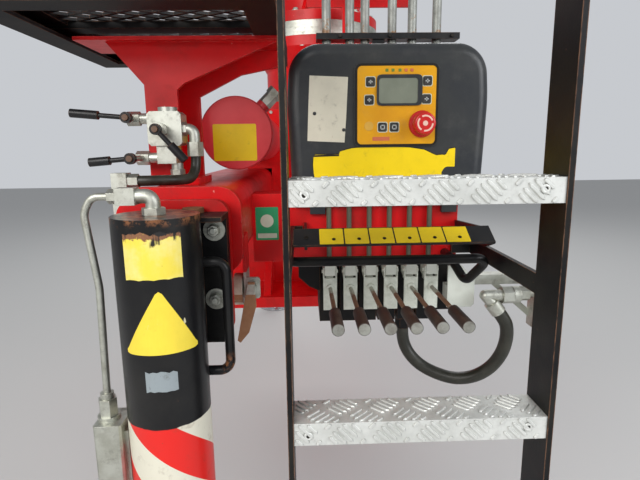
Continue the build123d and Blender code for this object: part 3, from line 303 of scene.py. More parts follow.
def leg_finish(name, middle, radius):
    """Black paint, with slanted red and cream stripes wound round the lower part of the leg."""
    p = Paint(name)
    x = p.less(p.axis(0), middle[0])
    y = p.less(middle[1], p.axis(1))
    if middle[1] > 0:
        y = p.times(y, -1.0)
    around = p.times(p.math("ARCTAN2", x, y), radius)
    down = p.less(STRIPE_TOP, p.axis(2))
    slant = p.less(p.times(around, STRIPE_SLANT), down)
    turn = p.math("FRACT", p.math("DIVIDE", p.plus(slant, STRIPE_START), STRIPE_PITCH))
    scuffed = p.ramp(p.noise(40.0, 6.0, 0.7), 0.55, 0.75)
    red = p.mix(scuffed, (0.74, 0.020, 0.015), (0.55, 0.035, 0.022))
    cream = p.mix(scuffed, (0.72, 0.69, 0.57), (0.50, 0.45, 0.36))
    stripes = p.mix(p.ramp(turn, 0.495, 0.505), red, cream)
    black = p.mix(p.ramp(p.noise(9.0, 6.0), 0.4, 0.75), (0.006, 0.006, 0.007), (0.016, 0.015, 0.014))
    ragged = p.plus(down, p.times(p.less(p.noise(18.0, 3.0), 0.5), 0.009))
    body = p.mix(p.ramp(ragged, -0.0006, 0.0006), black, stripes)
    drips = p.ramp(p.noise(60.0, 3.0, 0.5, stretch=(1.0, 1.0, 0.35), offset=(1.0, 0.0, 7.0)), 0.735, 0.75)
    body = p.mix(drips, body, (0.60, 0.55, 0.38))
    chips = p.ramp(p.noise(70.0, 5.0, 0.7, offset=(4.0, 0.0, 1.0)), 0.70, 0.74)
    rust = p.mix(p.noise(30.0), (0.14, 0.05, 0.02), (0.30, 0.13, 0.06))
    handle = p.times(p.ramp(p.axis(0), HANDLE_RUST[0] - 0.008, HANDLE_RUST[0]),
                     p.ramp(p.axis(2), HANDLE_RUST[1] - 0.02, HANDLE_RUST[1], flip=True))
    handle = p.times(handle, p.ramp(p.noise(75.0, 6.0, 0.7), 0.42, 0.52))
    rim = p.times(p.ramp(p.axis(2), LEG_TOP - 0.012, LEG_TOP - 0.001),
                  p.ramp(p.noise(55.0, 7.0, 0.75), 0.47, 0.56))
    chips = p.most(chips, p.most(handle, rim))
    p.set(color=p.mix(chips, body, rust), rough=p.span(scuffed, 0.32, 0.5), coat=0.04, coat_rough=0.2, shine=0.3)
    p.set(normal=p.bump(p.noise(260.0, 3.0), 0.0002, 0.4, soften=0.001))
    return p.material


def lever_finish(name, seed):
    """Pale paint on the plate and the stick's root, rust in patches further out on the stick."""
    p = Paint(name)
    cloud = p.cloud(60.0, 7.0, 0.7, offset=(seed, 0.0, 0.0))
    pale = p.mix(cloud, (0.72, 0.75, 0.67), (0.56, 0.59, 0.51))
    far = p.ramp(p.axis(1), LEVER_FRONT_Y - 0.075, LEVER_FRONT_Y - 0.015, flip=True)
    blots = p.less(p.noise(38.0, 6.0, 0.7, offset=(0.0, seed, 0.0)), 0.5)
    spread = p.plus(far, p.times(blots, 3.0))
    rusty = p.ramp(spread, 0.45, 0.75)
    stick = p.ramp(p.axis(1), LEVER_FRONT_Y - 0.008, LEVER_FRONT_Y - 0.0065, flip=True)
    rusty = p.times(rusty, stick)
    worn = p.times(p.edges(0.0012), p.ramp(p.noise(80.0, 6.0, 0.7), 0.48, 0.6))
    rust = p.mix(p.noise(90.0, 6.0, 0.7), (0.11, 0.055, 0.030), (0.27, 0.145, 0.085))
    body = p.mix(stick, pale, p.mix(cloud, (0.40, 0.41, 0.33), (0.26, 0.25, 0.19)))
    body = p.mix(p.times(worn, 0.6), body, (0.24, 0.17, 0.10))
    p.set(color=p.mix(rusty, body, rust), rough=p.span(rusty, 0.45, 0.7), shine=0.4)
    p.set(normal=p.bump(p.noise(240.0, 4.0, 0.7), 0.0003, 0.5, soften=0.0008))
    return p.material


def grip_finish(name, seed):
    """Dark worn rubber whose end face is pale with dust."""
    p = Paint(name)
    film = p.ramp(p.noise(34.0, 8.0, 0.7, offset=(seed, 0.0, 0.0)), 0.42, 0.72)
    rings = p.math("SINE", p.times(p.axis(1), 900.0))
    side = p.mix(film, (0.026, 0.014, 0.011), (0.085, 0.055, 0.042))
    face = p.mix(film, (0.30, 0.30, 0.27), (0.16, 0.15, 0.13))
    end = p.ramp(p.axis(1), GRIP_END_Y + 0.0002, GRIP_END_Y + 0.0016, flip=True)
    p.set(color=p.mix(end, side, face), rough=p.span(film, 0.5, 0.75))
    height = p.plus(p.noise(420.0, 3.0, 0.6), p.times(rings, 0.15))
    p.set(normal=p.bump(height, 0.0003, 0.5, soften=0.0008))
    return p.material


def lock_finish(name):
    """Zinc angle and nut, cream roller, rusty lever."""
    p = Paint(name)
    cloud = p.cloud(60.0, 7.0, 0.7)
    zinc = p.mix(cloud, (0.56, 0.57, 0.52), (0.38, 0.38, 0.33))
    cream = p.mix(cloud, (0.60, 0.55, 0.45), (0.44, 0.38, 0.29))
    rust = p.mix(p.noise(70.0, 6.0, 0.7), (0.20, 0.085, 0.035), (0.42, 0.22, 0.11))
    roller = p.ramp(p.axis(0), LOCK_X - 0.003, LOCK_X - 0.001, flip=True)
    lever = p.times(p.ramp(p.axis(1), LOCK_LEVER_Y, LOCK_LEVER_Y + 0.0004, flip=True),
                    p.ramp(p.math("ABSOLUTE", p.less(p.axis(2), LOCK_NUT_Z)), 0.008, 0.009))
    low = p.ramp(p.axis(2), LOCK_NUT_Z - 0.022, LOCK_NUT_Z - 0.018, flip=True)
    lever = p.most(lever, p.times(low, p.ramp(p.axis(1), -1.0246, -1.0240, flip=True)))
    painted_over = p.ramp(p.axis(2), LOCK_NUT_Z + 0.026, LOCK_NUT_Z + 0.028)
    plated = p.less(1.0, p.most(painted_over, p.most(roller, lever)))
    body = p.mix(lever, p.mix(roller, zinc, cream), rust)
    p.set(color=p.mix(painted_over, body, RED), metal=p.times(plated, 0.85))
    p.set(rough=p.span(cloud, 0.42, 0.62), normal=p.bump(p.noise(220.0, 4.0), 0.0003, 0.5, soften=0.0008))
    return p.material


def pipe_finish(name):
    """Light grey pipes with rust and wear where the clamp holds them."""
    p = Paint(name)
    cloud = p.cloud(40.0, 7.0, 0.7, stretch=(1.0, 1.0, 0.5))
    body = p.mix(cloud, (0.34, 0.35, 0.32), (0.20, 0.20, 0.18))
    near = p.ramp(p.math("ABSOLUTE", p.less(p.axis(2), 0.682)), 0.006, 0.045, flip=True)
    spots = p.ramp(p.plus(p.noise(60.0, 7.0, 0.75), p.times(near, 0.14)), 0.66, 0.72)
    rust = p.mix(p.noise(70.0, 6.0, 0.7), (0.16, 0.07, 0.03), (0.36, 0.22, 0.12))
    p.set(color=p.mix(spots, body, rust), rough=p.span(cloud, 0.36, 0.55), metal=0.2)
    p.set(normal=p.bump(p.noise(260.0, 3.0), 0.0003, 0.5))
    return p.material


def cylinder_finish(name):
    """Faded red paint on the slewing cylinder, bare zinc on the fittings at its ends."""
    p = Paint(name)
    x = p.less(p.axis(0), RACK[0])
    z = p.less(p.axis(2), RACK[1])
    out = p.math("SQRT", p.plus(p.times(x, x), p.times(z, z)))
    fitting = p.ramp(out, RACK_R + 0.0085, RACK_R + 0.0095)
    tone = p.cloud(8.0, 6.0)
    paint = p.mix(tone, (0.84, 0.060, 0.070), (0.72, 0.030, 0.040))
    # pale pink along the edges, patchy by noise: worn paint and also a painted edge highlight
    worn = p.times(p.edges(0.002), p.ramp(p.noise(50.0, 6.0, 0.7), 0.4, 0.6))
    paint = p.mix(worn, paint, (0.80, 0.30, 0.26))
    zinc = p.mix(p.cloud(60.0, 6.0), (0.52, 0.53, 0.47), (0.34, 0.34, 0.28))
    p.set(color=p.mix(fitting, paint, zinc), metal=p.times(fitting, 0.85), rough=p.span(tone, 0.30, 0.42))
    p.set(normal=p.bump(p.noise(380.0, 2.0), 0.0002, 0.3, soften=0.0012))
    return p.material


def rusty_black(name, amount=0.5, rough=0.45, rust_above=None, edge_rust=((0.10, 0.038, 0.016), (0.30, 0.14, 0.07))):
    """Black paint that has rusted through in patches and along the edges, and all over above a height."""
    p = Paint(name)
    patches = p.ramp(p.noise(28.0, 8.0, 0.75, offset=(2.0, 5.0, 1.0)), 0.72 - 0.25 * amount, 0.80 - 0.25 * amount)
    along = p.times(p.edges(0.0022), p.ramp(p.noise(45.0, 7.0, 0.75), 0.36, 0.55))
    worn = p.most(patches, along)
    if rust_above:
        worn = p.most(worn, p.ramp(p.axis(2), rust_above, rust_above + 0.001))
    rust = p.mix(p.noise(70.0, 6.0, 0.7), *edge_rust)
    dust = p.mix(p.ramp(p.noise(12.0, 7.0), 0.4, 0.7), (0.005, 0.005, 0.006), (0.015, 0.014, 0.012))
    p.set(color=p.mix(worn, dust, rust), rough=p.span(worn, rough, 0.78), shine=0.22)
    height = p.plus(p.noise(230.0, 4.0, 0.7), p.times(worn, 0.6))
    p.set(normal=p.bump(height, 0.0004, 0.5, soften=0.001))
    return p.material


# Places on the object that finishes and stickers go by
LEG_MIDDLE = (-0.250, 1.170)     # x and distance from the middle of the truck
LEG_R = 0.056
LEG_TOP = 0.369
HANDLE_RUST = (-0.172, 0.170)    # x and z of the worn corner of the hand grip
STRIPE_TOP = 0.096               # the black ends here and the stripes begin
STRIPE_PITCH = 0.126
STRIPE_SLANT = 0.86
STRIPE_START = 0.0437
RACK = (-0.191, 0.483)           # x and z of the slewing cylinder's axis
RACK_R = 0.073
RACK_END_Y = -0.800
PANEL_Y = -0.848                 # front of the control bracket
CONSOLE_Y = -0.880               # front of the console
DASH_Y = -0.883                  # front of the amber panel
STRIP_EDGE = (-1.045, 0.296)     # y and z of the label strip's lower edge
STRIP_TOP = (-1.010, 0.317)
STRIP_T = 0.0036
LEVER_FRONT_Y = -0.885
GRIP_END_Y = -1.110
LOCK_X = -0.1597                 # side of the beam housing, where the lock hangs
LOCK_LEVER_Y = -1.0272
LOCK_NUT_Z = 0.224
STEP_TOPS = [(81.5 + 330 * (i - 1)) * MM for i in range(4)]
STEP_X = (-0.077, 0.275)
STEP_Y = (-1.198, -1.136)
STEP_LIP = 0.033
CHEQUER_PITCH = 0.0607           # from one group of bars to the next
CHEQUER_GAP = 0.0088             # from bar to bar in a group
CHEQUER_BAR = 0.031              # length of a bar
BRACKET_Y = -1.1137              # front of the leg's bracket
STOP = (0.164, 0.493)            # x and z of the emergency stop's axis
SPINDLES = [(-0.345, -0.977, 0.504), (-0.334, -1.005, 0.438), (-0.293, -0.997, 0.484)]

MATERIALS = {
    # the red paint's pale pink edge colour is worn paint and also a painted edge highlight
    "red_paint": painted("red_paint", RED, (0.75, 0.20, 0.17), (0.10, 0.02, 0.012), rough=0.36, coat=0.03, shine=0.3),
    "black_paint": painted("black_paint", (0.007, 0.007, 0.008), (0.20, 0.085, 0.035), (0.030, 0.027, 0.024),
                           rough=0.38, edge=0.002, dirt=0.5, chips=0.35),
    "galvanised": metal("galvanised", (0.60, 0.61, 0.55), (0.42, 0.42, 0.36), rough=0.46, stain=0.5),
    "bright_steel": metal("bright_steel", (0.62, 0.62, 0.64), (0.45, 0.45, 0.47), rough=0.2, stain=0.2),
    # bright aluminium, with painted shade darkening it where surfaces shut it in
    "bright_aluminium": metal("bright_aluminium", (0.76, 0.77, 0.74), (0.62, 0.63, 0.60), rough=0.42,
                              brush=(1.0, 6.0, 6.0), stain=0.2, shiny=0.45, crevice=0.003),
    "console_plastic": plastic("console_plastic", (0.036, 0.038, 0.038), (0.020, 0.023, 0.028), rough=0.34, dust=0.1),
    "amber_panel": plastic("amber_panel", (0.80, 0.38, 0.006), (0.68, 0.30, 0.006), rough=0.3, grain=300.0, dust=0.12),
    "display_glass": plastic("display_glass", (0.23, 0.25, 0.19), (0.17, 0.19, 0.14), rough=0.15, dust=0.1, coat=0.6),
    "key_rubber": rubber("key_rubber", (0.02, 0.02, 0.02), (0.10, 0.09, 0.07), rough=0.55),
    "stop_red": plastic("stop_red", (0.62, 0.010, 0.008), (0.45, 0.008, 0.006), rough=0.22, dust=0.1, coat=0.4),
    "grip_rubber": rubber("grip_rubber", (0.030, 0.017, 0.013), (0.10, 0.075, 0.06)),
    "lever_paint": painted("lever_paint", (0.76, 0.79, 0.71), (0.30, 0.20, 0.12), (0.44, 0.42, 0.35), rough=0.45,
                           chips=0.5),
    "valve_black": metal("valve_black", (0.05, 0.05, 0.048), (0.025, 0.025, 0.025), rough=0.5, stain=0.6),
    "hose_rubber": rubber("hose_rubber", (0.018, 0.018, 0.012), (0.056, 0.054, 0.040), rough=0.52),
    "pipe_grey": painted("pipe_grey", (0.30, 0.31, 0.29), (0.16, 0.07, 0.04), (0.10, 0.09, 0.07), rough=0.42,
                         chips=0.9),
    "cylinder_red": cylinder_finish("cylinder_red"),
    "leg_paint": leg_finish("leg_paint", (LEG_MIDDLE[0], -LEG_MIDDLE[1]), LEG_R),
    "rod_olive": painted("rod_olive", (0.12, 0.12, 0.085), (0.30, 0.29, 0.24), (0.06, 0.05, 0.035), rough=0.42),
    "amber_faded": plastic("amber_faded", (0.74, 0.42, 0.06), (0.66, 0.36, 0.05), rough=0.35, grain=300.0, dust=0.1),
    "dark_screw": metal("dark_screw", (0.05, 0.045, 0.04), (0.02, 0.018, 0.016), rough=0.5, stain=0.3),
}
NODE_MATERIALS = {
    "leg_tube_far": leg_finish("leg_paint_far", LEG_MIDDLE, LEG_R),
    "ladder_stiles": rusty_black("stile_paint", 0.28, edge_rust=((0.20, 0.08, 0.035), (0.52, 0.28, 0.17))),
    "leg_bracket_near": rusty_black("bracket_paint", 0.30, rust_above=0.3625),
    "leg_bracket_far": rusty_black("bracket_paint_far", 0.30, rust_above=0.3625),
    "guard_bar": rusty_black("guard_paint", 0.15, rough=0.3),
    "platform_frame": rusty_black("platform_paint", 0.36, rough=0.6),
    "valve_bank": rusty_black("casting", 0.15, rough=0.6),
    "beam_lock": lock_finish("beam_lock"),
    "selector_valve": metal("selector_zinc", (0.60, 0.61, 0.55), (0.42, 0.42, 0.36), rough=0.46, stain=0.5,
                            rusty_ends=SPINDLES),
    "pressure_pipes": pipe_finish("pipes"),
}
for i in range(6):
    NODE_MATERIALS[f"lever_{i + 1}"] = lever_finish(f"lever_finish_{i + 1}", 0.37 * i)
    NODE_MATERIALS[f"grip_{i + 1}"] = grip_finish(f"grip_finish_{i + 1}", 0.53 * i)

for node, thing in NODES.items():
    material = NODE_MATERIALS.get(node) or MATERIALS[SLOTS[node]]
    thing.data.materials.clear()
    thing.data.materials.append(material)


# Hoses, along the same routes as in the model
SELECTOR_HOSE = [(-0.243, -0.945, 0.440), (-0.243, -0.945, 0.4275), (-0.2445, -0.9496, 0.416),
                 (-0.2472, -0.9579, 0.4072), (-0.2508, -0.9689, 0.4026), (-0.262, -0.987, 0.402),
                 (-0.283, -1.006, 0.403), (-0.302, -1.014, 0.403), (-0.320, -1.014, 0.403)]
RETURN_HOSE = [(0.150, -0.815, 0.070), (0.150, -0.815, 0.044), (0.162, -0.8195, 0.0125), (0.186, -0.8285, -0.013),
               (0.219, -0.841, -0.028), (0.256, -0.855, -0.035), (0.292, -0.870, -0.024), (0.320, -0.884, 0.002),
               (0.337, -0.894, 0.036), (0.343, -0.899, 0.068), (0.3426, -0.900, 0.094), (0.337, -0.900, 0.111),
               (0.323, -0.900, 0.129)]


def hose(name, route, diameter):
    """A hose on one smooth spline, in place of its plain solid."""
    curve = bpy.data.curves.new(name, "CURVE")
    curve.dimensions = "3D"
    spline = curve.splines.new("NURBS")
    spline.points.add(len(route) - 1)
    for point, place in zip(spline.points, route):
        point.co = (*place, 1.0)
    spline.order_u = 3
    spline.use_endpoint_u = True
    curve.resolution_u = 24
    curve.bevel_depth = diameter / 2
    curve.bevel_resolution = 8
    curve.use_fill_caps = True
    curve.materials.append(MATERIALS["hose_rubber"])
    thing = bpy.data.objects.new(f"{name}_dressed", curve)
    bpy.context.collection.objects.link(thing)
    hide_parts(name)
    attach(thing, "root")


hose("selector_hose", SELECTOR_HOSE, 0.017)
hose("return_hose", RETURN_HOSE, 0.026)


# Small fastenings, plates and ribs
class Solid:
    """Corners and faces of a dressing piece, gathered before they become one mesh."""

    def __init__(self):
        self.points = []
        self.faces = []

    def lathe(self, profile, place, axis, sides=24, twist=0.0):
        """A profile of (radius, height) turned about an axis; a hexagon has 6 sides."""
        turn = Vector(axis).to_track_quat("Z", "Y")
        first = len(self.points)
        for radius, height in profile:
            for k in range(sides):
                angle = 2 * math.pi * k / sides + twist
                corner = Vector((radius * math.cos(angle), radius * math.sin(angle), height))
                self.points.append(Vector(place) + turn @ corner)
        for ring in range(len(profile) - 1):
            low = first + ring * sides
            for k in range(sides):
                after = (k + 1) % sides
                self.faces.append((low + k, low + after, low + sides + after, low + sides + k))
        self.faces.append(tuple(reversed(range(first, first + sides))))
        self.faces.append(tuple(range(len(self.points) - sides, len(self.points))))

    def skin(self, columns, thickness, place):
        """A thin plate from columns of (u, low, high); place turns (u, v, height) into a point."""
        first = len(self.points)
        for u, low, high in columns:
            for v, height in ((low, 0.0), (high, 0.0), (high, thickness), (low, thickness)):
                self.points.append(place(u, v, height))
        for i in range(len(columns) - 1):
            a = first + 4 * i
            for k in range(4):
                after = (k + 1) % 4
                self.faces.append((a + k, a + after, a + 4 + after, a + 4 + k))
        last = len(self.points) - 4
        self.faces.append((first + 3, first + 2, first + 1, first))
        self.faces.append((last, last + 1, last + 2, last + 3))

    def frame(self, u, v, corner, inner_u, inner_v, inner_corner, thickness, place):
        """A flat rounded frame with a rounded opening."""
        first = len(self.points)
        rings = []
        for (u0, u1), (v0, v1), r in ((u, v, corner), (inner_u, inner_v, inner_corner)):
            ring = []
            for middle_u, middle_v, start in ((u1 - r, v1 - r, 0), (u0 + r, v1 - r, 90), (u0 + r, v0 + r, 180),
                                              (u1 - r, v0 + r, 270)):
                for k in range(7):
                    angle = math.radians(start + 15 * k)
                    ring.append((middle_u + r * math.cos(angle), middle_v + r * math.sin(angle)))
            rings.append(ring)
        for height in (0.0, thickness):
            for ring in rings:
                self.points.extend(place(a, b, height) for a, b in ring)
        count = len(rings[0])
        low_out, low_in, top_out, top_in = (first + k * count for k in range(4))
        for k in range(count):
            after = (k + 1) % count
            for a, b in ((low_out, top_out), (top_out, top_in), (top_in, low_in), (low_in, low_out)):
                self.faces.append((a + k, a + after, b + after, b + k))

    def done(self, name, slot, body="root", material=None, smooth=False):
        mesh = bpy.data.meshes.new(name)
        mesh.from_pydata(self.points, [], self.faces)
        mesh.validate()
        work = bmesh.new()
        work.from_mesh(mesh)
        bmesh.ops.recalc_face_normals(work, faces=work.faces)
        work.to_mesh(mesh)
        work.free()
        mesh.materials.append(material or MATERIALS[slot])
        if smooth:
            mesh.shade_smooth()
        thing = bpy.data.objects.new(name, mesh)
        bpy.context.collection.objects.link(thing)
        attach(thing, body)
        return thing


def rounded(u, v, corner=0.0, middle=1, steps=5):
    """A rounded rectangle as columns of (u, low, high)."""
    if not corner:
        return [(u[0] + (u[1] - u[0]) * k / middle, v[0], v[1]) for k in range(middle + 1)]
    ends = []
    for k in range(steps + 1):
        angle = math.pi / 2 * k / steps
        ends.append((corner * (1 - math.cos(angle)), corner * (1 - math.sin(angle))))
    columns = [(u[0] + along, v[0] + inset, v[1] - inset) for along, inset in ends]
    for k in range(1, middle):
        columns.append((u[0] + corner + (u[1] - u[0] - 2 * corner) * k / middle, v[0], v[1]))
    return columns + [(u[1] - along, v[0] + inset, v[1] - inset) for along, inset in reversed(ends)]


def facing_front(y):
    """Puts a plate on an upright face that looks along -Y."""
    return lambda u, v, height: Vector((u, y - height, v))


def round_leg(u, v, height):
    """Puts a plate round the near leg, u being the way round from its foremost line."""
    angle = u / LEG_R
    radius = LEG_R + height
    return Vector((LEG_MIDDLE[0] + radius * math.sin(angle), -LEG_MIDDLE[1] - radius * math.cos(angle), v))


def hex_bolt(solid, place, axis, across, washer=True, stud=0.0, twist=0.3):
    """A washer, a chamfered hexagon and perhaps the stud's end."""
    r = across / math.sqrt(3)
    lift = 0.0
    if washer:
        lift = 0.0022
        solid.lathe([(across * 0.95, 0.0), (across * 0.95, lift), (across * 0.5, lift)], place, axis, 28)
    tall = across * 0.55
    solid.lathe([(r, lift), (r, lift + tall * 0.8), (r * 0.86, lift + tall)], place, axis, 6, twist)
    if stud:
        end = lift + tall + stud
        solid.lathe([(across * 0.3, lift), (across * 0.3, end - stud * 0.2), (across * 0.24, end)], place, axis, 16)


def pan_screw(solid, place, axis, r):
    """A low domed screw head."""
    solid.lathe([(r, 0.0), (r, r * 0.25), (r * 0.75, r * 0.55), (r * 0.3, r * 0.65)], place, axis, 20)


def tread(solid, place, along, side, out, length, width=0.0056, height=0.0020):
    """One raised bar of chequer plate, pointed at both ends."""
    shape = ((-0.5, 0.0), (-0.36, -0.5), (0.36, -0.5), (0.5, 0.0), (0.36, 0.5), (-0.36, 0.5))
    first = len(solid.points)
    for share, lift in ((1.0, -0.0002), (0.62, height)):
        for u, v in shape:
            solid.points.append(place + along * (u * length * (0.9 + 0.1 * share)) + side * (v * width * share)
                                + out * lift)
    count = len(shape)
    for k in range(count):
        after = (k + 1) % count
        solid.faces.append((first + k, first + after, first + count + after, first + count + k))
    solid.faces.append(tuple(range(first + count, first + 2 * count)))
    solid.faces.append(tuple(reversed(range(first, first + count))))


STICKERS = {
    "plate_yellow": sticker("plate_yellow", (0.92, 0.66, 0.006), worn=(0.84, 0.70, 0.26)),
    "plate_lemon": sticker("plate_lemon", (0.88, 0.68, 0.06), worn=(0.82, 0.72, 0.35)),
    "plate_rusty": torn_plate("plate_rusty", 0.3545, 0.016),
    "plate_cream": sticker("plate_cream", (0.70, 0.66, 0.53), worn=(0.50, 0.36, 0.22), amount=0.5),
    "plate_green": sticker("plate_green", (0.03, 0.34, 0.14), worn=(0.5, 0.55, 0.4), amount=0.3),
    "plate_pale": sticker("plate_pale", (0.62, 0.66, 0.52), amount=0.3),
    "plate_grey": sticker("plate_grey", (0.28, 0.32, 0.34), worn=(0.07, 0.08, 0.09), amount=0.9),
    "plate_dark": sticker("plate_dark", (0.015, 0.013, 0.010), worn=(0.06, 0.05, 0.04), amount=0.3),
    "lamp_green": sticker("lamp_green", (0.16, 0.24, 0.04), amount=0.1),
    "lamp_red": sticker("lamp_red", (0.62, 0.16, 0.07), amount=0.1),
    "stop_pale": sticker("stop_pale", (0.86, 0.56, 0.46), amount=0.1),
    "key_mark": sticker("key_mark", (0.50, 0.52, 0.50), amount=0.1),
}


def plate(name, columns, place, material, slot, body="root", thickness=SKIN):
    """A thin blank plate or sticker."""
    solid = Solid()
    solid.skin(columns, thickness, place)
    return solid.done(name, slot, body, STICKERS[material])


def console_plates():
    """The torn yellow plate and the cream label on the console, both blank."""
    front = facing_front(CONSOLE_Y)
    top = [(-39, 420, 421), (-38, 405, 434), (-36.5, 396, 438.5), (-34, 389, 439), (10, 388, 439.2), (12, 388, 444.5),
           (23, 388, 447.5), (34.5, 388, 450.2), (56, 388, 452), (78, 388, 452.8), (110, 388, 452.2), (144, 388, 450.3),
           (171, 389, 445.9), (194, 390, 435.2), (205, 393, 436.2), (205.4, 404, 436.2), (210, 411, 435.6),
           (213, 413, 437), (216, 413.9, 443), (218.3, 413.9, 446.8), (228.8, 413.7, 448.7), (230, 414, 448)]
    outline = [(u * MM, low * MM, high * MM) for u, low, high in top]
    plate("console_plate", outline, front, "plate_yellow", "amber_panel", thickness=2 * SKIN)
    dark = [(u * MM, low * MM, (high + 1.7) * MM) for u, low, high in top]
    dark[0] = (-0.0412, dark[0][1], dark[0][2])
    plate("console_plate_edge", dark, front, "plate_dark", "console_plastic")
    fold = [(-0.0375, 0.4350, 0.4382), (-0.0100, 0.4356, 0.4392), (0.0100, 0.4360, 0.4390)]
    plate("console_plate_fold", fold, facing_front(CONSOLE_Y - 2 * SKIN), "plate_dark", "console_plastic")
    skew = [(-48.8, 464.5, 466), (-46.5, 464.4, 520), (-43.2, 464.2, 581.3), (20.4, 461.0, 578.5), (23.5, 505, 578.3),
            (27.1, 576, 578.2)]
    outline = [(u * MM, low * MM, high * MM) for u, low, high in skew]
    plate("console_label", outline, front, "plate_cream", "amber_panel")
    screws = Solid()
    for x, z in ((-35, 514), (19, 484)):
        pan_screw(screws, (x * MM, CONSOLE_Y - SKIN, z * MM), FRONT, 0.0032)
    screws.done("console_label_screws", "console_plastic")


def console_dash():
    """Frame, painted shadow line, keys, lamps and strips on the amber panel."""
    front = facing_front(DASH_Y)
    glass = DASH_Y - 0.0015
    rim = Solid()
    rim.frame((0.0795, 0.1635), (0.5265, 0.5815), 0.009, (0.0835, 0.1555), (0.5305, 0.5755), 0.006, 0.0012,
              facing_front(glass))
    rim.done("display_frame", "console_plastic")
    # painted shadow line: a thin dark frame round the border of the amber panel
    rim_shadow = Solid()
    rim_shadow.frame((0.0400, 0.1940), (0.4530, 0.6010), 0.012, (0.0436, 0.1904), (0.4566, 0.5974), 0.009, 0.0009, front)
    rim_shadow.done("dash_rim_shadow", "console_plastic", material=STICKERS["plate_dark"])
    pads = Solid()
    edges = Solid()
    marks = Solid()
    for x, z in ((68, 569), (66, 537), (173, 570), (172, 538), (91, 488), (113, 488)):
        x *= MM
        z *= MM
        edges.skin(rounded((x - 0.0096, x + 0.0096), (z - 0.0096, z + 0.0096), 0.0035), 0.0002, front)
        pads.skin(rounded((x - 0.0083, x + 0.0083), (z - 0.0083, z + 0.0083), 0.0032), 0.0006, front)
        key = facing_front(DASH_Y - 0.0015)
        if z > 0.5:
            marks.skin(rounded((x - 0.0038, x + 0.0038), (z - 0.0012, z + 0.0012), 0.001), 0.0002, key)
            marks.skin(rounded((x - 0.0012, x + 0.0012), (z - 0.0034, z + 0.0034), 0.001), 0.0002, key)
        else:
            for u, v in (((-0.0042, 0.0042), (0.0026, 0.0042)), ((-0.0042, 0.0042), (-0.0042, -0.0026)),
                         ((-0.0042, -0.0026), (-0.0042, 0.0042)), ((0.0026, 0.0042), (-0.0042, 0.0042))):
                marks.skin(rounded((x + u[0], x + u[1]), (z + v[0], z + v[1])), 0.0002, key)
    edges.done("key_edges", "amber_panel", material=STICKERS["plate_pale"])
    pads.done("key_pads", "key_rubber")
    marks.done("key_marks", "key_rubber", material=STICKERS["key_mark"])
    for name, spots in (("lamp_green", (98.1, 109.1, 121.9)), ("lamp_red", (132.9, 143.9))):
        lamps = Solid()
        for x in spots:
            lamps.skin(rounded(((x - 2.6) * MM, (x + 2.6) * MM), (0.5865, 0.5917), 0.001), 0.0009, front)
        lamps.done(f"console_{name}s", "display_glass", material=STICKERS[name])
    strip = Solid()
    strip.skin(rounded((0.0725, 0.1045), (0.4635, 0.4705), 0.0012), 0.0003, front)
    strip.done("console_red_strip", "stop_red", material=STICKERS["lamp_red"])
    spot = Solid()
    spot.lathe([(0.0085, 0.0), (0.0085, 0.0003)], (0.0655, DASH_Y, 0.490), FRONT, 28)
    spot.done("console_blank_spot", "amber_panel", material=MATERIALS["amber_faded"])


def stop_button():
    """Ring behind the emergency stop, and the pale dot and three arcs on its face."""
    ring = Solid()
    ring.lathe([(0.0245, 0.0), (0.0245, 0.004), (0.0225, 0.0062), (0.0165, 0.0070)], (STOP[0], DASH_Y, STOP[1]),
               FRONT, 40)
    ring.done("stop_ring", "stop_red")
    face = DASH_Y - 0.030
    place = lambda turn, r, height: Vector((STOP[0] + r * math.cos(turn), face - height, STOP[1] + r * math.sin(turn)))
    marks = Solid()
    marks.lathe([(0.0048, -0.0002), (0.0046, 0.0004), (0.003, 0.0006)], (STOP[0], face, STOP[1]), FRONT, 24)
    for start in (20, 140, 260):
        marks.skin([(math.radians(start + 98 * k / 12), 0.0118, 0.0148) for k in range(13)], 0.0004, place)
    marks.done("stop_marks", "stop_red", material=STICKERS["stop_pale"])


def rack_label():
    """Yellow plate on the near cap of the slewing cylinder."""
    plate("rack_label", rounded((-0.238, -0.151), (0.428, 0.501), 0.003), facing_front(RACK_END_Y), "plate_yellow",
          "cylinder_red")


def bracket_sticker():
    """Green sticker with a pale disc and bar."""
    front = facing_front(PANEL_Y)
    plate("bracket_sticker", rounded((-0.154, -0.109), (0.272, 0.338), 0.002), front, "plate_green", "red_paint")
    pale = Solid()
    pale.lathe([(0.013, 0.0), (0.013, SKIN * 1.6)], (-0.1315, PANEL_Y, 0.3105), FRONT, 32)
    pale.skin(rounded((-0.1505, -0.1125), (0.276, 0.2855), 0.001), SKIN * 1.6, front)
    pale.done("bracket_sticker_disc", "red_paint", material=STICKERS["plate_pale"])


def leg_stickers():
    """Torn plate, triangle and worn sticker on the near leg."""
    torn = [0.0, -0.002, 0.0015, -0.001, 0.002, 0.0, -0.003, 0.001, 0.002, -0.001, 0.0, -0.002, 0.001]
    columns = [(-0.027 + 0.006 * k, 0.295 + (0.001 if k % 3 else 0.0), 0.353 + torn[k]) for k in range(13)]
    plate("leg_plate", columns, round_leg, "plate_rusty", "leg_paint", "stabiliser_near")
    half = 0.0485
    middle = 0.0130
    columns = []
    for k in range(-12, 13):
        u = half * k / 12
        high = 0.2845 - 0.082 * abs(u) / half
        low = 0.1985
        if abs(k) == 12:
            low, high = 0.2005, 0.2045
        elif abs(k) == 11:
            low = 0.1988
        columns.append((middle + u, low, min(high, 0.2805)))
    plate("leg_triangle", columns, round_leg, "plate_lemon", "leg_paint", "stabiliser_near")
    wavy = [0.0, 0.002, 0.0005, 0.0015, 0.0, 0.001, 0.003, 0.001, 0.0035]
    columns = [(-0.011 + 0.005 * k, 0.148 + 0.5 * wavy[-k], 0.1765 - wavy[k]) for k in range(9)]
    plate("leg_sticker", columns, round_leg, "plate_grey", "leg_paint", "stabiliser_near")


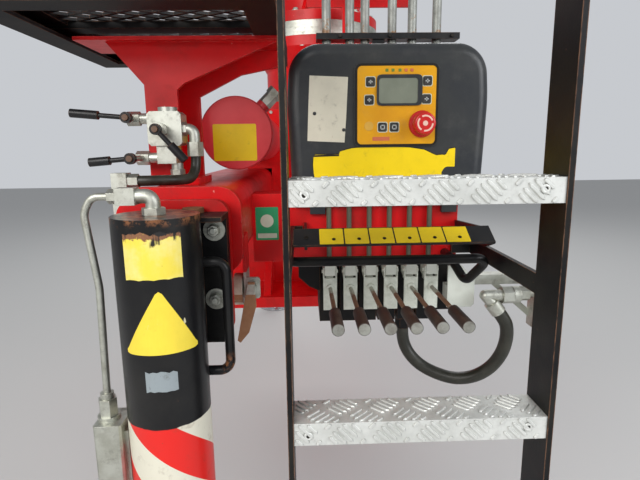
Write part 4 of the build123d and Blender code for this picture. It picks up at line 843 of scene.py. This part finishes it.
def strip_plates():
    """Six blank plates on the sloping label strip, each held by a dark screw."""
    slope = Vector((0.0, STRIP_TOP[0] - STRIP_EDGE[0], STRIP_TOP[1] - STRIP_EDGE[1])).normalized()
    out = Vector((0.0, -slope.z, slope.y))
    edge = Vector((0.0, STRIP_EDGE[0] - 0.002, STRIP_EDGE[1] + STRIP_T))
    place = lambda u, v, height: edge + slope * v + out * height + Vector((u, 0.0, 0.0))
    screws = Solid()
    for k in range(6):
        x = (-14 + 41 * k) * MM
        outline = rounded((x - 0.0193, x + 0.0193), (0.0015, 0.0385), 0.0015)
        plate(f"strip_plate_{k + 1}", outline, place, "plate_yellow", "black_paint", thickness=0.0007)
        screws.lathe([(0.003, 0.0), (0.003, 0.0006), (0.0015, 0.0009)], place(x + 0.0035, 0.0125, 0.0007), out, 16)
    screws.lathe([(0.004, 0.0), (0.004, 0.001), (0.002, 0.0018)], place(-0.055, 0.018, 0.0), out, 16)
    screws.done("strip_screws", "black_paint", material=MATERIALS["dark_screw"])


def clipped(ends, left, right, low, high):
    """The stretch of a straight bar inside a rectangle, or nothing if too little of it is left."""
    (u0, v0), (u1, v1) = ends
    near, far = 0.0, 1.0
    for start, end, least, most in ((u0, u1, left, right), (v0, v1, low, high)):
        a = (least - start) / (end - start)
        b = (most - start) / (end - start)
        near = max(near, min(a, b))
        far = min(far, max(a, b))
    if far - near < 0.22:
        return None
    return ((u0 + (u1 - u0) * near, v0 + (v1 - v0) * near), (u0 + (u1 - u0) * far, v0 + (v1 - v0) * far))


def steps_tread():
    """Chequer bars in fives over lip and tread, the groups leaning both ways by turns."""
    bars = Solid()
    across = Vector((1.0, 0.0, 0.0))
    width = STEP_X[1] - STEP_X[0]
    depth = STEP_Y[1] - STEP_Y[0]
    for top in STEP_TOPS:
        lip = (Vector((STEP_X[0], STEP_Y[0], top - STEP_LIP)), Vector((0.0, 0.0, 1.0)), Vector((0.0, -1.0, 0.0)),
               0.001, STEP_LIP - 0.0015, 0.0)
        tread_top = (Vector((STEP_X[0], STEP_Y[0], top)), Vector((0.0, 1.0, 0.0)), Vector((0.0, 0.0, 1.0)),
                     STEP_LIP + 0.0015, STEP_LIP + depth - 0.001, STEP_LIP)
        for row in range(-1, 4):
            lean = -1.0 if row % 2 == 0 else 1.0
            for column in range(-1, 7):
                middle_u = (column + (0.5 if row % 2 else 0.0)) * CHEQUER_PITCH + 0.010
                middle_v = 0.0155 + row * CHEQUER_PITCH / 2
                for k in range(5):
                    shift = (k - 2) * CHEQUER_GAP / math.sqrt(2)
                    u = middle_u + shift
                    v = middle_v - lean * shift
                    half = CHEQUER_BAR / 2 / math.sqrt(2) * (0.88 if abs(k - 2) == 2 else 1.0)
                    ends = ((u - half, v - lean * half), (u + half, v + lean * half))
                    for corner, rise, out, low, high, start in (lip, tread_top):
                        piece = clipped(ends, 0.003, width - 0.003, low, high)
                        if piece:
                            (u0, v0), (u1, v1) = piece
                            first = corner + across * u0 + rise * (v0 - start)
                            last = corner + across * u1 + rise * (v1 - start)
                            along = (last - first).normalized()
                            tread(bars, (first + last) / 2, along, out.cross(along), out, (last - first).length)
    bars.done("step_tread", "bright_aluminium")
    rivets = Solid()
    holes = Solid()
    for top in STEP_TOPS:
        for x, z in ((-0.057, top - 0.0185), (0.248, top - 0.0145)):
            place = (x, STEP_Y[0], z)
            rivets.lathe([(0.0065, 0.0), (0.0065, 0.0008), (0.0052, 0.0018), (0.0030, 0.0022), (0.0028, 0.0012)],
                         place, FRONT, 24)
            holes.lathe([(0.0027, 0.0009), (0.0027, 0.0014)], place, FRONT, 16)
    rivets.done("step_rivets", "bright_aluminium", smooth=True)
    holes.done("step_rivet_holes", "bright_aluminium", material=MATERIALS["dark_screw"])


def bolts():
    """Bolts and nuts on the brackets, the clamp, the slewing gear and the beams' end plates."""
    clamp = Solid()
    for x in (0.020, 0.120, 0.245):
        hex_bolt(clamp, (x, -0.783, 0.670), FRONT, 0.007, washer=False)
    clamp.done("clamp_bolts", "black_paint", material=MATERIALS["dark_screw"])
    for name, side in (("near", -1), ("far", 1)):
        legs = Solid()
        for x, z in ((-0.186, 0.338), (-0.188, 0.236), (-0.309, 0.338), (-0.309, 0.205)):
            place = (x, side * abs(BRACKET_Y), z)
            hex_bolt(legs, place, (0.0, side, 0.0), 0.0165, stud=0.004, twist=0.2 + z)
        legs.done(f"leg_bolts_{name}", "galvanised", f"stabiliser_{name}")
    ring = Solid()
    for k in range(0, 24, 2):
        angle = 2 * math.pi * (k + 0.5) / 24
        place = (0.190 * math.cos(angle), 0.190 * math.sin(angle), 0.8762)
        hex_bolt(ring, place, (0.0, 0.0, 1.0), 0.015, twist=angle)
    ring.done("slewing_head_bolts", "galvanised", "column")
    under = Solid()
    for k in range(12):
        angle = 2 * math.pi * (k + 0.5) / 12
        place = (0.2005 * math.cos(angle), 0.2005 * math.sin(angle), 0.770)
        hex_bolt(under, place, (0.0, 0.0, -1.0), 0.016, twist=angle)
    under.done("slew_ring_bolts", "galvanised")
    rack = Solid()
    for side in (-1, 1):
        for k in range(8):
            angle = 2 * math.pi * (k + 0.5) / 8
            out = RACK_R + 0.0155
            place = (RACK[0] + out * math.cos(angle), side * 0.230, RACK[1] + out * math.sin(angle))
            if place[0] < RACK[0] + 0.06 and place[2] > 0.42:
                hex_bolt(rack, place, (0.0, side, 0.0), 0.010, washer=False, twist=angle)
    rack.done("rack_bolts", "galvanised")


def base_details():
    """Oil plugs, grease nipples and the rack's adjuster on the sides of the base that the photo hides."""
    plugs = Solid()
    for z in (0.655, 0.500):
        hex_bolt(plugs, (0.1792, 0.0, z), (1.0, 0.0, 0.0), 0.019, twist=z)
    left = (-1.0, 0.0, 0.0)
    plugs.lathe([(0.014, 0.0), (0.014, 0.010), (0.0125, 0.012)], (-0.284, 0.0, RACK[1]), left, 6, 0.3)
    plugs.done("gear_plugs", "galvanised")
    nipples = Solid()
    for side in (-1, 1):
        for angle in (0.9, 1.7):
            out = Vector((math.cos(angle), side * math.sin(angle), 0.0))
            foot = out * 0.1795 + Vector((0.0, 0.0, 0.680))
            nipples.lathe([(0.0055, 0.0), (0.0055, 0.005)], foot, out, 6)
            nipples.lathe([(0.0030, 0.004), (0.0030, 0.009), (0.0040, 0.011), (0.0030, 0.0135), (0.0012, 0.0145)],
                          foot, out, 16)
    nipples.done("grease_nipples", "galvanised")
    boss = Solid()
    boss.lathe([(0.026, 0.0), (0.026, 0.008), (0.024, 0.010)], (-0.276, 0.0, RACK[1]), left, 32)
    boss.done("rack_adjuster_boss", "red_paint")


console_plates()
console_dash()
stop_button()
rack_label()
bracket_sticker()
leg_stickers()
strip_plates()
steps_tread()
bolts()
base_details()


# Stage, light and camera
def stage_floor():
    """One wide pale floor under the lowest point."""
    low = CAD_BOX[0][2]
    mesh = bpy.data.meshes.new("floor")
    side = 12.0
    corners = [(-side, -side, low), (side, -side, low), (side, side, low), (-side, side, low)]
    mesh.from_pydata(corners, [], [(0, 1, 2, 3)])
    floor = bpy.data.objects.new("floor", mesh)
    bpy.context.collection.objects.link(floor)
    p = Paint("floor")
    p.set(color=(0.58, 0.58, 0.57), rough=0.7)
    mesh.materials.append(p.material)


def area_light(name, place, target, size, power, color=(1.0, 1.0, 1.0)):
    """A rectangular lamp that faces a target."""
    data = bpy.data.lights.new(name, "AREA")
    data.shape = "RECTANGLE"
    data.size, data.size_y = size
    data.energy = power
    data.color = color
    lamp = bpy.data.objects.new(name, data)
    bpy.context.collection.objects.link(lamp)
    lamp.location = place
    lamp.rotation_euler = (Vector(target) - Vector(place)).to_track_quat("-Z", "Y").to_euler()


def light():
    """Three soft lamps and a pale surround, paler to the camera than it is as light."""
    world = bpy.data.worlds.new("studio")
    bpy.context.scene.world = world
    world.use_nodes = True
    nodes = world.node_tree.nodes
    links = world.node_tree.links
    back = nodes["Background"]
    back.inputs["Color"].default_value = (0.92, 0.95, 1.0, 1.0)
    path = nodes.new("ShaderNodeLightPath")
    level = nodes.new("ShaderNodeMapRange")
    level.inputs["To Min"].default_value = 0.42
    level.inputs["To Max"].default_value = 0.62
    links.new(path.outputs["Is Camera Ray"], level.inputs["Value"])
    links.new(level.outputs["Result"], back.inputs["Strength"])
    area_light("key", (-1.9, -4.0, 2.1), (0.0, -0.9, 0.4), (2.6, 2.2), 122.0, (1.0, 0.98, 0.95))
    area_light("fill", (2.8, -3.2, 1.6), (0.0, -0.9, 0.3), (2.0, 2.0), 75.0, (0.95, 0.97, 1.0))
    area_light("back", (0.5, 3.6, 3.2), (0.0, 0.4, 0.4), (3.0, 2.0), 80.0)


# The camera of the photograph: place, turn about Z, tilt down, roll, and focal length over the picture's width
CAMERA_PLACE = (-0.0565, -1.7948, 0.45)
CAMERA_YAW = 0.0314
CAMERA_PITCH = 0.1878
CAMERA_ROLL = -0.0125
CAMERA_LENS_OVER_WIDTH = 0.75


def camera():
    """The camera at the photograph's place, looking the same way."""
    data = bpy.data.cameras.new("camera")
    data.sensor_width = 36.0
    data.lens = CAMERA_LENS_OVER_WIDTH * data.sensor_width
    data.clip_start = 0.02
    eye = bpy.data.objects.new("camera", data)
    bpy.context.collection.objects.link(eye)
    forward = Vector((math.sin(CAMERA_YAW) * math.cos(CAMERA_PITCH), math.cos(CAMERA_YAW) * math.cos(CAMERA_PITCH),
                      -math.sin(CAMERA_PITCH)))
    right = Vector((math.cos(CAMERA_YAW), -math.sin(CAMERA_YAW), 0.0))
    up = right.cross(forward)
    turned_right = right * math.cos(CAMERA_ROLL) + up * math.sin(CAMERA_ROLL)
    turned_up = up * math.cos(CAMERA_ROLL) - right * math.sin(CAMERA_ROLL)
    turn = Matrix((turned_right, turned_up, -forward)).transposed().to_4x4()
    eye.matrix_world = Matrix.Translation(CAMERA_PLACE) @ turn
    bpy.context.scene.camera = eye


stage_floor()
light()
camera()
bpy.context.scene.view_settings.view_transform = "Standard"
